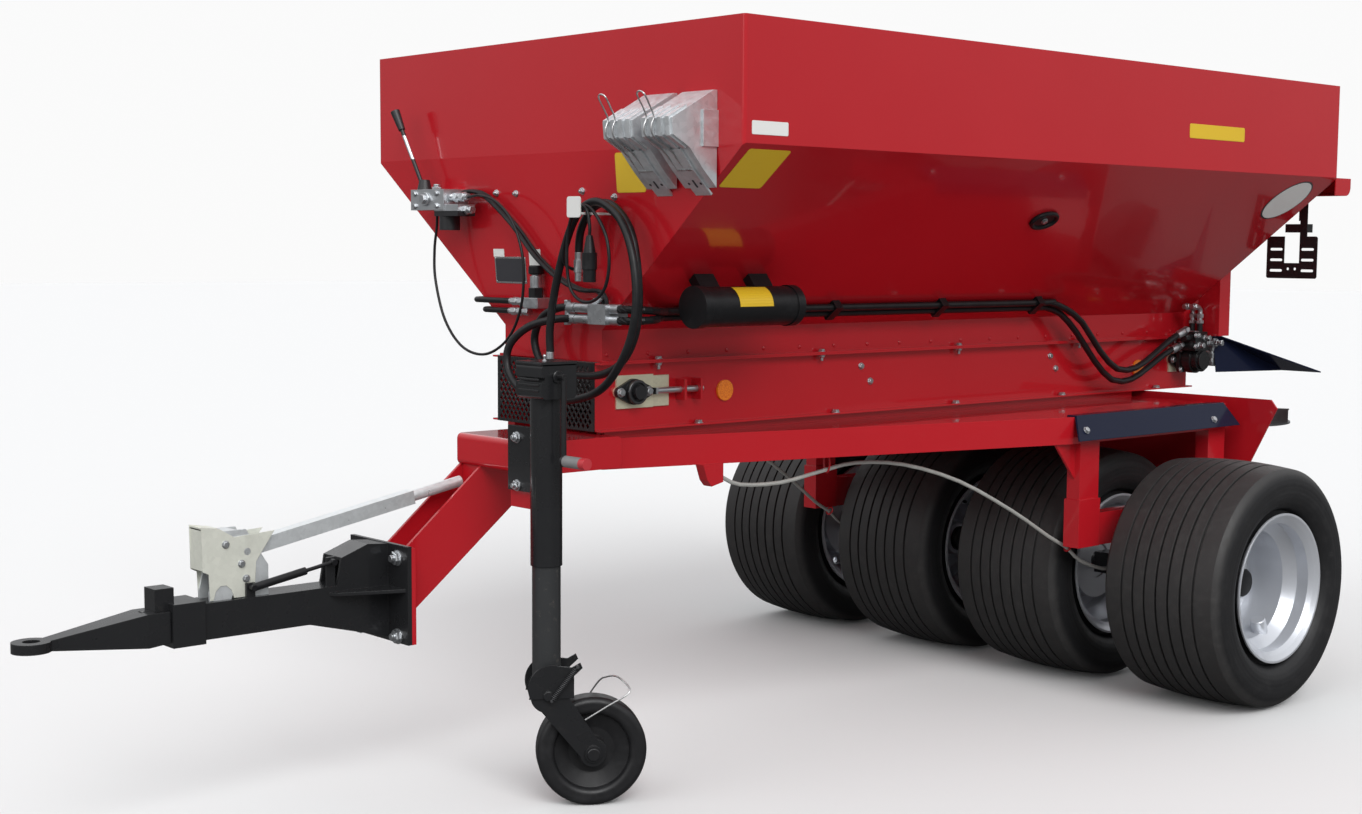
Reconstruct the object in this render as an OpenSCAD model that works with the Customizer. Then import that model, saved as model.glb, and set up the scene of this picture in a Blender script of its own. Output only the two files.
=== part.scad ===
// Trailed hopper spreader: belt-floor hopper on a row of four wheels, twin spinner discs behind.
// Millimetres. +X forward to the tow eye, +Y left, +Z up, ground at z = 0.
// Lengths along X are measured from the wheel axle and shifted to the box centre at the end.

/* [Hopper] */
// outer width of the hopper
hopper_w = 1650; // [1200:10:2200]
// outer length of the hopper
hopper_l = 2804; // [2600:2:3000]
// rear wall behind the axle
hopper_rear = 723; // [700:1:740]
// height of the upright walls
upright_h = 312; // [250:1:500]
// height of the sloping walls
slope_h = 482; // [430:1:560]
// height of the straight neck below the sloping walls
neck_h = 88; // [80:1:110]
// how far the front wall's foot leans back
front_lean = 41; // [0:1:60]
// hopper sheet thickness
wall = 4; // [3:0.5:6]
// plan radius of the hopper's upright corners
corner_r = 10; // [8:1:40]
// width of the rim's inward lip
rim_lip = 30; // [15:1:50]
// width of the bolting flanges between hopper and trough
flange_w = 28; // [20:1:40]
// height of the outlet in the rear wall above the trough
outlet_h = 200; // [150:5:240]
// depth of the rail across the rear wall
rail_d = 100; // [70:1:120]
// height of that rail
rail_h = 60; // [40:1:70]
// lower corner radius of the rail's end plates
rail_r = 30; // [10:1:39]

/* [Trough] */
// outer width of the conveyor trough
trough_w = 446; // [400:2:480]
// height of the trough's side plates
trough_h = 188; // [180:1:210]
// gap between deck and trough, filled by two packing strips
packing_h = 21; // [10:1:40]
// trough front end ahead of the axle
trough_front = 2065; // [2050:1:2120]
// trough rear end behind the axle
trough_rear = 751; // [745:1:770]
// trough sheet thickness
plate_t = 5; // [4:0.5:8]
// thickness of the bed under the belt's upper run
bed_t = 8; // [4:1:12]
// thickness of the expanded metal guard
mesh_t = 3; // [2:0.5:5]
// width of the guard's openings
mesh_w = 20; // [18:1:40]
// height of the guard's rows
mesh_h = 13; // [11:1:26]
// width of the guard's strands
strand = 4; // [3:0.5:7]

/* [Conveyor] */
// radius of the belt rollers
roller_r = 58; // [45:1:60]
// front roller ahead of the axle
roller_front = 1938; // [1900:1:1960]
// rear roller behind the axle
roller_rear = 685; // [670:1:688]
// height of the roller shafts above the trough's bottom
shaft_rise = 105; // [95:1:110]
// belt thickness
belt_t = 10; // [6:1:12]
// side gap between belt and trough
belt_gap = 8; // [5:1:20]
// roller shaft radius
shaft_r = 20; // [15:1:24]
// housing radius of the flange bearings
housing_r = 36; // [32:1:42]
// length of the flange bearings
housing_l = 30; // [24:1:40]
// bolt distance of the bearing flanges from the shaft
ear_x = 50; // [46:1:56]
// end radius of the bearing flanges
ear_r = 15; // [12:1:20]
// length of the plate behind a front bearing
tension_l = 132; // [125:1:150]
// height of the plate behind a bearing
tension_h = 92; // [86:1:100]
// radius of the tensioning rod
rod_r = 9; // [7:0.5:11]

/* [Chassis] */
// height of the deck's top face
deck_top = 922; // [910:1:940]
// depth of the chassis beams
beam_h = 86; // [70:1:100]
// width of the chassis beams and wheel-frame posts
beam_w = 50; // [40:1:60]
// deck plate thickness
deck_t = 6; // [4:1:10]
// deck front end ahead of the axle
deck_front = 2032; // [1980:1:2045]
// deck width at its front end
deck_front_w = 430; // [400:1:470]
// where the deck stops widening, ahead of the axle
knee_x = 450; // [430:1:600]

/* [Wheels] */
// tyre radius
wheel_r = 390; // [370:1:410]
// tyre section width
tyre_w = 431; // [420:1:440]
// outer wheels' distance from the centre line
wheel_out = 893; // [885:1:920]
// inner wheels' distance from the centre line
wheel_in = 282; // [265:1:290]
// rim flange radius
rim_r = 238; // [225:1:250]
// half the rim's width over its flanges
rim_half = 200; // [190:1:205]
// height of the rim's flanges above the bead seats
bead_h = 26; // [20:1:30]
// depth of the rim's well below the bead seats
well_d = 30; // [15:1:40]
// rim sheet thickness
rim_t = 8; // [6:0.5:10]
// offset of the wheel disc from the rim's middle
dish = 60; // [40:1:80]
// number of hand holes in the wheel disc
rim_holes = 8; // [6:1:10]
// radius of the hand holes
hole_r = 11; // [8:0.5:14]
// radius of the tyre's shoulders
shoulder_r = 62; // [45:1:70]
// radius of the tyre's crown across its width
crown_r = 1500; // [800:10:2500]
// number of grooves in the tread
grooves = 7; // [5:2:9]
// width of the tread grooves
groove_w = 8; // [5:0.5:12]
// depth of the tread grooves
groove_d = 9; // [6:0.5:14]
// axle stub radius
stub_r = 30; // [24:1:36]
// brake drum radius
drum_r = 128; // [110:1:140]
// running clearance on shafts and slides
fit = 0.08; // [0.02:0.01:0.1]
// clearance of flat slides and loose seats
slide_gap = 0.5; // [0.3:0.1:0.8]

/* [Wheel frames] */
// distance of the posts' centres from the axle
post_x = 360; // [340:1:380]
// length of a post's section along X
post_l = 100; // [80:1:110]
// height of the pivot pins above the axles
pivot_rise = 74; // [70:1:90]
// pivot tube radius
pivot_r = 38; // [34:1:45]
// length of the pivot tubes
pivot_l = 150; // [120:2:160]
// depth of the lower tube
lower_h = 105; // [80:1:120]
// height of the sleeves at the posts' feet
sleeve_h = 155; // [140:1:180]
// sleeve wall
sleeve_t = 5; // [3:1:8]
// side of the square axle beams
axle_s = 70; // [60:1:80]
// thickness of the pivot cheeks
cheek_t = 12; // [8:1:16]
// reach of the gussets before the front posts
gusset_l = 100; // [60:1:140]
// depth of those gussets
gusset_h = 115; // [80:1:150]

/* [Drawbar] */
// length of the cross box ahead of the deck
box_l = 296; // [280:1:320]
// height of the cross box
box_h = 86; // [80:1:100]
// reach of the cross box to the jack's side
box_left = 299; // [280:1:310]
// rise of that box above the deck
box_rise = 14; // [6:1:20]
// edge radius of the upper box
box_r = 15; // [8:1:20]
// outside width of the gooseneck
neck_w = 100; // [90:1:120]
// gooseneck plate thickness
neck_t = 8; // [6:1:12]
// flange ahead of the upper box
flange_reach = 260; // [245:1:275]
// lower edge of the flange
flange_low = 414; // [400:1:430]
// upper edge of the flange
flange_high = 667; // [650:1:690]
// flange thickness
flange_t = 12; // [8:1:16]
// overlap of the flange beyond the gooseneck's plates
flange_lap = 89; // [80:1:95]
// overrun tube side
tube_s = 90; // [80:1:95]
// overrun tube wall
tube_t = 6; // [4:1:8]
// overrun tube centre height
tube_z = 530; // [525:1:540]
// length of the overrun tube ahead of the flanges
tube_l = 580; // [540:1:640]
// length of the guide collar
collar_l = 85; // [70:1:100]
// wall of the guide collar
collar_t = 8; // [6:1:12]
// radius of the overrun slide rod
slide_r = 38; // [34:1:40]
// tow eye ahead of the collar
eye_reach = 324; // [305:1:350]
// tow eye height
eye_z = 519; // [515:1:527]
// tow eye outer radius
eye_r = 45; // [42:1:55]
// tow eye bore radius
eye_bore = 20; // [17.5:0.5:25]
// tow eye thickness
eye_t = 24; // [20:1:32]
// length of the brake lever
lever_l = 665; // [600:1:680]
// rise of the brake lever towards its grip
lever_rise = 10.5; // [6:0.5:11]
// height of the brake bracket above the overrun tube
bracket_h = 170; // [150:1:190]
// length of the brake bracket
bracket_l = 160; // [140:1:180]
// brake bracket sheet thickness
bracket_t = 6; // [4:0.5:8]
// width of the brake bracket over its two plates
bracket_w = 60; // [50:1:70]

/* [Jack] */
// jack axis ahead of the cross box's front face
jack_ahead = 24; // [24:1:30]
// jack axis left of the centre line
jack_y = 385; // [370:1:400]
// outer tube radius
jack_r = 41; // [38:1:46]
// wall of the outer tube
jack_wall = 4; // [3:0.5:5]
// lower end of the outer tube
jack_low = 630; // [600:1:660]
// lower face of the gear head
head_low = 1061; // [1050:1:1080]
// height of the gear head
head_h = 92; // [80:1:100]
// side of the gear head
head_s = 110; // [100:1:120]
// height of the jack's mounting plate
mount_h = 184; // [170:1:190]
// thickness of the jack's mounting plates
mount_t = 12; // [8:1:16]
// length of the crank arm
crank_l = 212; // [180:1:230]
// length of the crank grip
grip_l = 95; // [80:1:120]
// length of the inner tube
inner_l = 540; // [500:1:560]
// height of the foot's fold pin
foot_pin_z = 300; // [290:1:310]
// radius of the fold pin
pin_r = 9; // [7:0.5:11]
// foot wheel radius
foot_r = 143; // [135:1:146]
// foot wheel width
foot_w = 75; // [60:1:80]
// trail of the foot wheel behind the jack axis
foot_trail = 116; // [105:1:125]
// turn of the foot about the jack axis
foot_turn = -32; // [-40:1:-20]

/* [Fittings] */
// width of a wheel chock
chock_w = 118; // [100:1:130]
// distance between the two chocks' middles
chock_pitch = 150; // [140:1:170]
// distance of the chocks' middle from the hopper's corner
chock_in = 232; // [215:1:260]
// chock sheet thickness
chock_t = 3; // [2:0.5:4]
// depth of a chock from the wall to its nose
chock_d = 148; // [130:1:160]
// height of a chock along the wall
chock_h = 240; // [220:1:250]
// document tube radius
docs_r = 54; // [45:1:60]
// document tube length
docs_l = 370; // [350:1:420]
// rear end of the document tube ahead of the axle
docs_x = 1560; // [1540:1:1580]
// distance of the document tube's axis from the sloping wall
docs_drop = 101; // [95:1:110]
// document tube up the sloping wall
docs_up = 235; // [225:1:260]
// hose radius
hose_r = 11; // [8:0.5:12]
// pitch of the hoses in their clamps
hose_pitch = 27; // [26:0.5:32]
// distance of the hoses from the sloping wall
hose_drop = 15; // [13:0.5:18]
// hose clamps up the sloping wall
clamp_up = 75; // [70:1:85]
// reflector radius
reflector_r = 30; // [25:1:40]
// reflector thickness
reflector_t = 7; // [5:0.5:10]

/* [Spinner] */
// disc centres behind the axle
disc_back = 850; // [840:1:870]
// disc centres left and right of the centre line
disc_y = 290; // [285:1:310]
// disc radius
disc_r = 270; // [250:1:275]
// height of the discs' underside
disc_z = 815; // [808:1:825]
// disc sheet thickness
disc_t = 5; // [3:0.5:8]
// number of vanes on a disc
vanes = 4; // [2:1:6]
// height of the vanes
vane_h = 50; // [40:1:60]
// radius of the disc shafts
spindle_r = 16; // [12:1:18]
// side of the spinner frame's tubes
spin_tube = 40; // [35:1:50]
// underside of the spinner frame
spin_low = 653; // [640:1:660]

/* [Rear] */
// splash plate behind the axle
splash_x = 470; // [455:1:500]
// greatest width of the splash plate
splash_w = 1558; // [1400:2:1600]
// width of the splash plate's lower edge
splash_low_w = 1200; // [1000:2:1300]
// lower edge of the splash plate
splash_low = 556; // [520:1:600]
// splash plate thickness
splash_t = 6; // [4:1:8]
// length of the guard strips beside the deck
strip_l = 845; // [780:1:860]
// how far the guard strips stand out from the deck
strip_out = 48; // [35:1:55]
// how far the guard strips reach below the deck
strip_drop = 72; // [55:1:80]
// guard strip thickness
strip_t = 5; // [3:0.5:6]
// width of the dosing gate
gate_w = 590; // [570:2:630]
// height of the dosing gate
gate_h = 300; // [280:1:310]
// travel of the dosing gate
gate_travel = 200; // [150:10:210]
// dosing gate thickness
gate_t = 6; // [4:0.5:8]
// width of the gate's guide columns
column_w = 90; // [80:1:100]
// depth of the gate's guide columns
column_d = 67; // [60:1:75]
// number plate holder's width
holder_w = 200; // [190:1:220]
// number plate holder's height
holder_h = 150; // [140:1:160]
// number plate holder left of the centre line
holder_y = 500; // [450:5:540]

/* [Hidden] */
$fn = 64;

// Heights and lengths that follow from the sizes above
trough_bottom = deck_top + packing_h;
trough_top = trough_bottom + trough_h;
foot_z = trough_top + neck_h;
fold_z = foot_z + slope_h;
hopper_top = fold_z + upright_h;
hopper_front = hopper_l - hopper_rear;
half_w = hopper_w / 2;
half_t = trough_w / 2;
slope = atan2(slope_h, half_w - half_t);
skin = wall * (1 - sin(slope)) / cos(slope);
roller_z = trough_bottom + shaft_rise;
belt_w = trough_w - 2 * plate_t - 2 * belt_gap;
frame_y = (wheel_out + wheel_in) / 2;
axle_half = (wheel_out - wheel_in) / 2;
deck_half = frame_y + beam_w / 2;
beam_low = deck_top - beam_h;
deck_rear = post_x + post_l / 2;
pin_z = wheel_r + pivot_rise;
lower_z = pin_z + pivot_r - 2;
seat_r = rim_r - bead_h;
well_r = seat_r - well_d;
box_top = deck_top + box_rise;
box_low = box_top - box_h;
box_front = deck_front + box_l;
mount_x = box_front + mount_t;
mount_low = box_low - 86;
mount_y = box_left - 85;
flange_x = box_front + flange_reach;
tube_x = flange_x + 2 * flange_t;
collar_x = tube_x + tube_l;
eye_x = collar_x + collar_l + eye_reach - 60;
jack_x = box_front + jack_ahead;
inner_r = jack_r - jack_wall - fit;
rear_reach = disc_back + disc_r;
axle_x = -(eye_x + eye_r - rear_reach) / 2;
clamp_y = half_t + clamp_up * cos(slope) + hose_drop * sin(slope);
clamp_z = foot_z + clamp_up * sin(slope) - hose_drop * cos(slope);
chock_z = fold_z - 107;
chock_y = half_w - chock_in;
valve_x = hopper_front + 40;
valve_y = -450;
valve_z = fold_z - 123;
block_y = 270;
block_z = foot_z + 46;
hook_y = 300;
hook_z = fold_z - 166;
gate_low = trough_top + 14;
gate_x = hopper_rear + 18;
column_low = trough_top + 6;
column_top = gate_low + gate_h + gate_travel + 15;
hood_x = hopper_rear + column_d;

// Routes of hoses and cables, x measured from the axle
cable_r = 4;
lamp_cable_r = 4.5;
brake_r = 6;
hose_a_path = [[2085, 170, 1250], [2112, 100, 1246], [2145, 25, 1222], [2170, -25, 1170], [2178, -20, 1105],
    [2180, 45, 1052], [2178, 150, 1036], [2172, 270, 1040], [2160, 380, 1080], [2150, 460, 1178],
    [2142, 488, 1290], [2138, 472, 1412], [2135, 425, 1505], [2135, 362, 1551], [2135, 300, 1563],
    [2135, 240, 1535], [2137, 192, 1462], [2142, 150, 1340], [2146, 130, 1230], [2146, 130, 1160]];
hose_b_path = [[2085, 170, 1280], [2090, 95, 1277], [2095, 25, 1248], [2098, -5, 1190], [2100, 25, 1130],
    [2100, 100, 1100], [2100, 200, 1098], [2100, 300, 1106], [2100, 380, 1142], [2100, 432, 1210],
    [2100, 450, 1300], [2100, 440, 1412], [2100, 412, 1492], [2100, 356, 1546], [2100, 300, 1561],
    [2100, 246, 1540], [2101, 208, 1490], [2102, 200, 1430]];
lamp_path = [[2076, 180, 1385], [2112, 181, 1386], [2146, 190, 1406], [2160, 215, 1460], [2164, 252, 1522],
    [2165, 300, 1553], [2165, 350, 1530], [2167, 398, 1470], [2169, 412, 1400], [2170, 395, 1338],
    [2170, 350, 1305], [2170, 295, 1303], [2171, 252, 1335], [2172, 238, 1400], [2174, 245, 1475],
    [2176, 267, 1532], [2177, 300, 1553], [2178, 331, 1538], [2178, 342, 1500], [2178, 342, 1475]];
valve_path = [[2121, -290, 1585], [2123, -230, 1588], [2128, -150, 1572], [2132, -70, 1522], [2134, -22, 1450],
    [2134, -6, 1370], [2134, -22, 1270], [2134, -83, 1185], [2134, -190, 1138], [2134, -304, 1154],
    [2132, -396, 1229], [2128, -450, 1344], [2124, -460, 1432], [2121, -452, 1500], [2121, -450, 1546]];
brake_path = [[1672, 300, 800], [1600, 306, 770], [1450, 318, 765], [1300, 334, 788], [1169, 352, 806],
    [1000, 395, 792], [800, 445, 730], [600, 495, 625], [450, 526, 532], [368, 536, 489], [300, 540, 440],
    [190, 548, 402], [88, 548, 396]];

red = [0.72, 0.05, 0.07];
dark = [0.05, 0.05, 0.06];
navy = [0.06, 0.08, 0.14];
zinc = [0.70, 0.72, 0.73];
rubber = [0.06, 0.06, 0.065];
rim_grey = [0.68, 0.69, 0.69];
amber = [0.95, 0.50, 0.05];
cream = [0.86, 0.83, 0.70];
white = [0.85, 0.85, 0.83];

// Shift from the axle to the box centre.
module rig() {
    translate([axle_x, 0, 0]) children();
}

// A piece and its mirror image on the right-hand side.
module both_sides() {
    children();
    mirror([0, 1, 0]) children();
}

// Box from two opposite corners.
module block(a, b) {
    translate(a) cube(b - a);
}

// Cylinder along +Y from y = 0.
module ycyl(r, h) {
    rotate([-90, 0, 0]) cylinder(r = r, h = h);
}

// Cylinder along +X from x = 0.
module xcyl(r, h) {
    rotate([0, 90, 0]) cylinder(r = r, h = h);
}

// Flat profile drawn in X and Z, from y = 0 to y = t.
module xz_plate(t) {
    translate([0, t, 0]) rotate([90, 0, 0]) linear_extrude(t) children();
}

// Flat profile drawn in Y and Z, from x = 0 to x = t.
module yz_plate(t) {
    rotate([90, 0, 90]) linear_extrude(t) children();
}

// Two circles joined by their outer tangents, or by a bar slimmer than the circles when waist is under 1.
module link(p, q, r1, r2, waist = 1) {
    d = norm(q - p);
    a = acos((r1 - r2) / d);
    tangent = [cos(a), sin(a)];
    across = [cos(a), -sin(a)];
    translate(p) circle(r = r1);
    translate(q) circle(r = r2);
    translate(p) rotate(atan2(q.y - p.y, q.x - p.x))
        polygon([waist * r1 * tangent, [d, 0] + waist * r2 * tangent,
            [d, 0] + waist * r2 * across, waist * r1 * across]);
}

// Rectangle with round corners.
module round_rect(size, r) {
    translate([r, 0]) square([size.x - 2 * r, size.y]);
    translate([0, r]) square([size.x, size.y - 2 * r]);
    for (x = [r, size.x - r], y = [r, size.y - r]) translate([x, y]) circle(r = r);
}

// Square tube along +X from x = 0, centred on the axis.
module square_tube(s, t, l) {
    difference() {
        block([0, -s / 2, -s / 2], [l, s / 2, s / 2]);
        block([-1, -s / 2 + t, -s / 2 + t], [l + 1, s / 2 - t, s / 2 - t]);
    }
}

// Place on the left sloping wall: +Y up the slope, +Z into the hopper, at a distance up from the slope's foot.
module on_slope(up) {
    translate([0, half_t + up * cos(slope), foot_z + up * sin(slope)]) rotate([slope, 0, 0]) children();
}

// What stands outside the hopper's walls.
module against_hopper() {
    difference() {
        children();
        hopper_body(0, trough_top);
    }
}

function unit(v) = v / norm(v);

// Coordinate axis nearest to a direction, in which hoses meet their fittings.
function nearest_axis(v) = let (most = max([for (c = v) abs(c)])) [for (c = v) abs(c) == most ? sign(c) : 0];

// The front wall's outer face at a height between its foot and its fold.
function front_at(z) = hopper_front - front_lean * (fold_z - z) / slope_h;

// Corner list of a convex outline moved inwards by t, for points in anticlockwise order.
function inset(p, t) = [for (i = [0:len(p) - 1])
    let (a = unit(p[i] - p[(i + len(p) - 1) % len(p)]), b = unit(p[(i + 1) % len(p)] - p[i]),
        m = [-a.y, a.x], n = [-b.y, b.x])
    p[i] + t * (m + n) / (1 + m * n)];

// Point at t between the second and third of four points on a smooth curve.
function spline(a, b, c, d, t) = 0.5 * (2 * b + (c - a) * t + (2 * a - 5 * b + 4 * c - d) * t ^ 2
    + (3 * b - a - 3 * c + d) * t ^ 3);

// Smooth curve through a route's points.
function smooth(p, steps) = let (n = len(p) - 1) concat(
    [for (i = [0:n - 1], k = [0:steps - 1])
        spline(p[max(i - 1, 0)], p[i], p[i + 1], p[min(i + 2, n)], k / steps)], [p[n]]);

// Round hose swept along a route, its rings turned from a direction that the route never takes.
module hose(route, r, away, steps = 1, sides = 10) {
    c = smooth(route, steps);
    last = len(c) - 1;
    points = [for (i = [0:last])
        let (run = c[min(i + 1, last)] - c[max(i - 1, 0)], d = i % last == 0 ? nearest_axis(run) : unit(run),
            u = unit(cross(d, away)), v = cross(d, u))
        for (k = [0:sides - 1]) c[i] + r * (cos(360 * k / sides) * u + sin(360 * k / sides) * v)];
    skin_faces = [for (i = [0:last - 1], k = [0:sides - 1]) let (m = (k + 1) % sides)
        [i * sides + k, (i + 1) * sides + k, (i + 1) * sides + m, i * sides + m]];
    start_cap = [for (k = [0:sides - 1]) k];
    end_cap = [for (k = [sides - 1:-1:0]) last * sides + k];
    polyhedron(points, concat([start_cap], skin_faces, [end_cap]));
}

// Solid inside the hopper's outer faces, or its inner faces when t is the wall.
module hopper_body(t, low) {
    in = t > 0 ? skin : 0;
    top = hopper_top - t;
    intersection() {
        translate([-hopper_rear - 1, 0, 0]) yz_plate(hopper_l + 2) polygon([
            [-half_w + t, top], [-half_w + t, fold_z + in], [-half_t + t, foot_z + in], [-half_t + t, low],
            [half_t - t, low], [half_t - t, foot_z + in], [half_w - t, fold_z + in], [half_w - t, top]]);
        translate([0, -half_w, 0]) xz_plate(hopper_w) polygon([
            [-hopper_rear + t, low], [hopper_front - front_lean - t, low],
            [hopper_front - front_lean - t, foot_z], [hopper_front - t, fold_z],
            [hopper_front - t, top], [-hopper_rear + t, top]]);
        translate([-hopper_rear + t, -half_w + t, low]) linear_extrude(top - low)
            round_rect([hopper_l - 2 * t, hopper_w - 2 * t], corner_r - t);
    }
}

module hopper() {
    lip = wall + rim_lip;
    outlet_half = gate_w / 2 - 20;
    color(red) rig() difference() {
        union() {
            hopper_body(0, trough_top);
            both_sides() block([-hopper_rear, half_t - 1, trough_top],
                [hopper_front - front_lean, half_t + flange_w, trough_top + plate_t]);
        }
        hopper_body(wall, trough_top - 1);
        block([-hopper_rear + lip, -half_w + lip, fold_z], [hopper_front - lip, half_w - lip, hopper_top + 1]);
        intersection() {
            translate([-hopper_rear - 20, 0, 0]) yz_plate(60) polygon([
                [-half_w + wall, fold_z + skin], [-half_t + wall, foot_z + skin], [-half_t + wall, trough_top - 1],
                [half_t - wall, trough_top - 1], [half_t - wall, foot_z + skin], [half_w - wall, fold_z + skin]]);
            block([-hopper_rear - 20, -outlet_half, trough_top - 1], [0, outlet_half, trough_top + outlet_h]);
        }
    }
}

// Outline of the rail's end plates, from the hopper's rear wall backwards.
module rail_end(in) {
    difference() {
        translate([-rail_d + in, -rail_h]) square([rail_d, rail_h - in]);
        translate([-rail_d, -rail_h]) square(rail_r);
    }
    intersection() {
        translate([-rail_d + rail_r, -rail_h + rail_r]) circle(r = rail_r - in);
        translate([-rail_d, -rail_h]) square(rail_r + 1);
    }
}

module rear_rail() {
    l = hopper_w - 12;
    color(red) rig() translate([-hopper_rear, -l / 2, fold_z]) intersection() {
        difference() {
            xz_plate(l) rail_end(0);
            translate([0, wall, 0]) xz_plate(l - 2 * wall) rail_end(wall);
            translate([-rail_d + rail_r, wall, -rail_h - 1]) cube([rail_d, l - 2 * wall, rail_h / 2]);
        }
        block([-rail_d, 0, -rail_h], [0, l, 0]);
    }
}

module trough() {
    lug_x = roller_front - tension_l - 40;
    bed_top = roller_z + roller_r - 4;
    color(red) rig() {
        both_sides() difference() {
            union() {
                block([-trough_rear, half_t - plate_t, trough_bottom], [trough_front, half_t, trough_top]);
                for (z = [trough_bottom, trough_top - plate_t])
                    block([-trough_rear, half_t - 1, z], [trough_front, half_t + flange_w, z + plate_t]);
                for (x = [lug_x, lug_x - 60])
                    block([x, half_t - 1, roller_z - 30], [x + 8, half_t + 40, roller_z + 30]);
            }
            for (x = [-roller_rear, roller_front])
                translate([x, 0, roller_z]) ycyl(shaft_r + fit, half_t + 100);
            translate([lug_x - 80, half_t + 20, roller_z]) xcyl(rod_r + slide_gap, 120);
        }
        block([-roller_rear + 2 * roller_r, -half_t + 1, bed_top - bed_t],
            [roller_front - 2 * roller_r, half_t - 1, bed_top]);
    }
}

module mesh_guard() {
    rows = floor(trough_h / mesh_h) - 2;
    columns = floor(trough_w / mesh_w / 2) - 1;
    half = [mesh_w / 2 - 0.7 * strand, mesh_h - strand];
    color(dark) rig() translate([trough_front, 0, trough_bottom]) yz_plate(mesh_t) difference() {
        translate([-half_t, 0]) square([trough_w, trough_h]);
        for (j = [0:rows], i = [-columns:columns])
            translate([mesh_w * (i + (j % 2) / 2) - mesh_w / 4, mesh_h * (j + 1)])
                polygon([[-half.x, 0], [0, -half.y], [half.x, 0], [0, half.y]]);
    }
}

module belt_loop(r) {
    for (x = [-roller_rear, roller_front]) translate([x, roller_z]) circle(r = r);
    translate([-roller_rear, roller_z - r]) square([roller_rear + roller_front, 2 * r]);
}

module belt() {
    color(rubber) rig() translate([0, -belt_w / 2, 0]) xz_plate(belt_w) difference() {
        belt_loop(roller_r + fit + belt_t);
        belt_loop(roller_r + fit);
    }
}

module rollers() {
    overhang = housing_l + 15;
    color(zinc) rig() for (x = [-roller_rear, roller_front]) translate([x, 0, roller_z]) {
        translate([0, -belt_w / 2, 0]) ycyl(roller_r, belt_w);
        translate([0, -half_t - overhang, 0]) ycyl(shaft_r, trough_w + 2 * overhang);
    }
}

// Flange bearing on its plate, the front ones with a tensioning rod.
module bearing(back, rod) {
    plate = 6;
    difference() {
        union() {
            block([-back, half_t, -tension_h / 2], [ear_x + 6, half_t + plate, tension_h / 2]);
            translate([0, half_t, 0]) xz_plate(plate + 12) for (s = [-1, 1]) link([0, 0], [s * ear_x, 0], housing_r, ear_r);
            translate([0, half_t, 0]) ycyl(housing_r - 3, housing_l);
            if (rod > 0) {
                block([-back, half_t, -rod_r], [-back + 12, half_t + 20 + rod_r, rod_r]);
                translate([-back - rod, half_t + 20, 0]) xcyl(rod_r, rod + 6);
            }
        }
        ycyl(shaft_r + fit, half_t + 100);
    }
}

module bearing_plates() {
    color(cream) rig() both_sides() {
        translate([roller_front, 0, roller_z]) bearing(tension_l - ear_x - 6, 170);
        translate([-roller_rear, 0, roller_z]) bearing(ear_x + 6, 0);
    }
}

function deck_y(x) = deck_front_w / 2 + (deck_half - deck_front_w / 2) * (deck_front - x) / (deck_front - knee_x);

module deck_outline() {
    polygon([[deck_front, -deck_front_w / 2], [deck_front, deck_front_w / 2], [knee_x, deck_half],
        [-deck_rear, deck_half], [-deck_rear, -deck_half], [knee_x, -deck_half]]);
}

module chassis() {
    spread = atan2(deck_half - deck_front_w / 2, deck_front - knee_x);
    side = beam_w / cos(spread);
    front_in = deck_front - beam_w;
    lug = brake_path[0];
    color(red) rig() {
        translate([0, 0, deck_top - deck_t]) linear_extrude(deck_t) deck_outline();
        translate([0, 0, beam_low]) linear_extrude(beam_h - 1) difference() {
            deck_outline();
            polygon([[front_in, -deck_y(front_in) + side], [front_in, deck_y(front_in) - side],
                [knee_x, deck_half - side], [knee_x - 10, deck_half - beam_w],
                [-deck_rear + beam_w, deck_half - beam_w], [-deck_rear + beam_w, -deck_half + beam_w],
                [knee_x - 10, -deck_half + beam_w], [knee_x, -deck_half + side]]);
        }
        block([post_x - post_l / 2, -deck_half + 1, beam_low], [post_x + post_l / 2, deck_half - 1, deck_top - 1]);
        both_sides() block([-deck_rear, half_t - 33, deck_top - 1], [deck_front, half_t, trough_bottom]);
        both_sides() translate([0, lug.y - 20, 0]) xz_plate(34) polygon([[lug.x, beam_low + 1], [lug.x, lug.z - 16],
            [lug.x + 44, lug.z - 26], [lug.x + 60, lug.z - 8], [lug.x + 76, beam_low + 1]]);
    }
}

module gooseneck() {
    half = neck_w / 2;
    foot = flange_low + 48;
    color(red) rig() {
        both_sides() translate([0, half - neck_t, 0]) xz_plate(neck_t) polygon([
            [flange_x, flange_low], [flange_x, flange_high - 37], [box_front - 8, box_low + 3], [box_front - 110, box_low + 3],
            [box_front - 153, box_low - 81], [flange_x - 24, foot], [flange_x - 17, foot - 16],
            [flange_x - 17, flange_low]]);
        block([box_front - 20, 1 - half, box_low - 55], [box_front - 12, half - 1, box_low + 3]);
        translate([0, -half, 0]) xz_plate(box_left + half) difference() {
            translate([deck_front, box_low]) round_rect([box_l, box_h], box_r);
            translate([deck_front + neck_t, box_low + neck_t])
                round_rect([box_l - 2 * neck_t, box_h - 2 * neck_t], box_r - neck_t);
        }
        for (y = [-half, box_left - neck_t]) translate([deck_front + 4, y, box_low + 4])
            cube([box_l - 8, neck_t, box_h - 8]);
        block([flange_x - 1, -half - flange_lap, flange_low], [flange_x + flange_t, half + flange_lap, flange_high]);
        block([box_front - 2, mount_y, mount_low], [mount_x, box_left, mount_low + mount_h]);
    }
}

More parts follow.
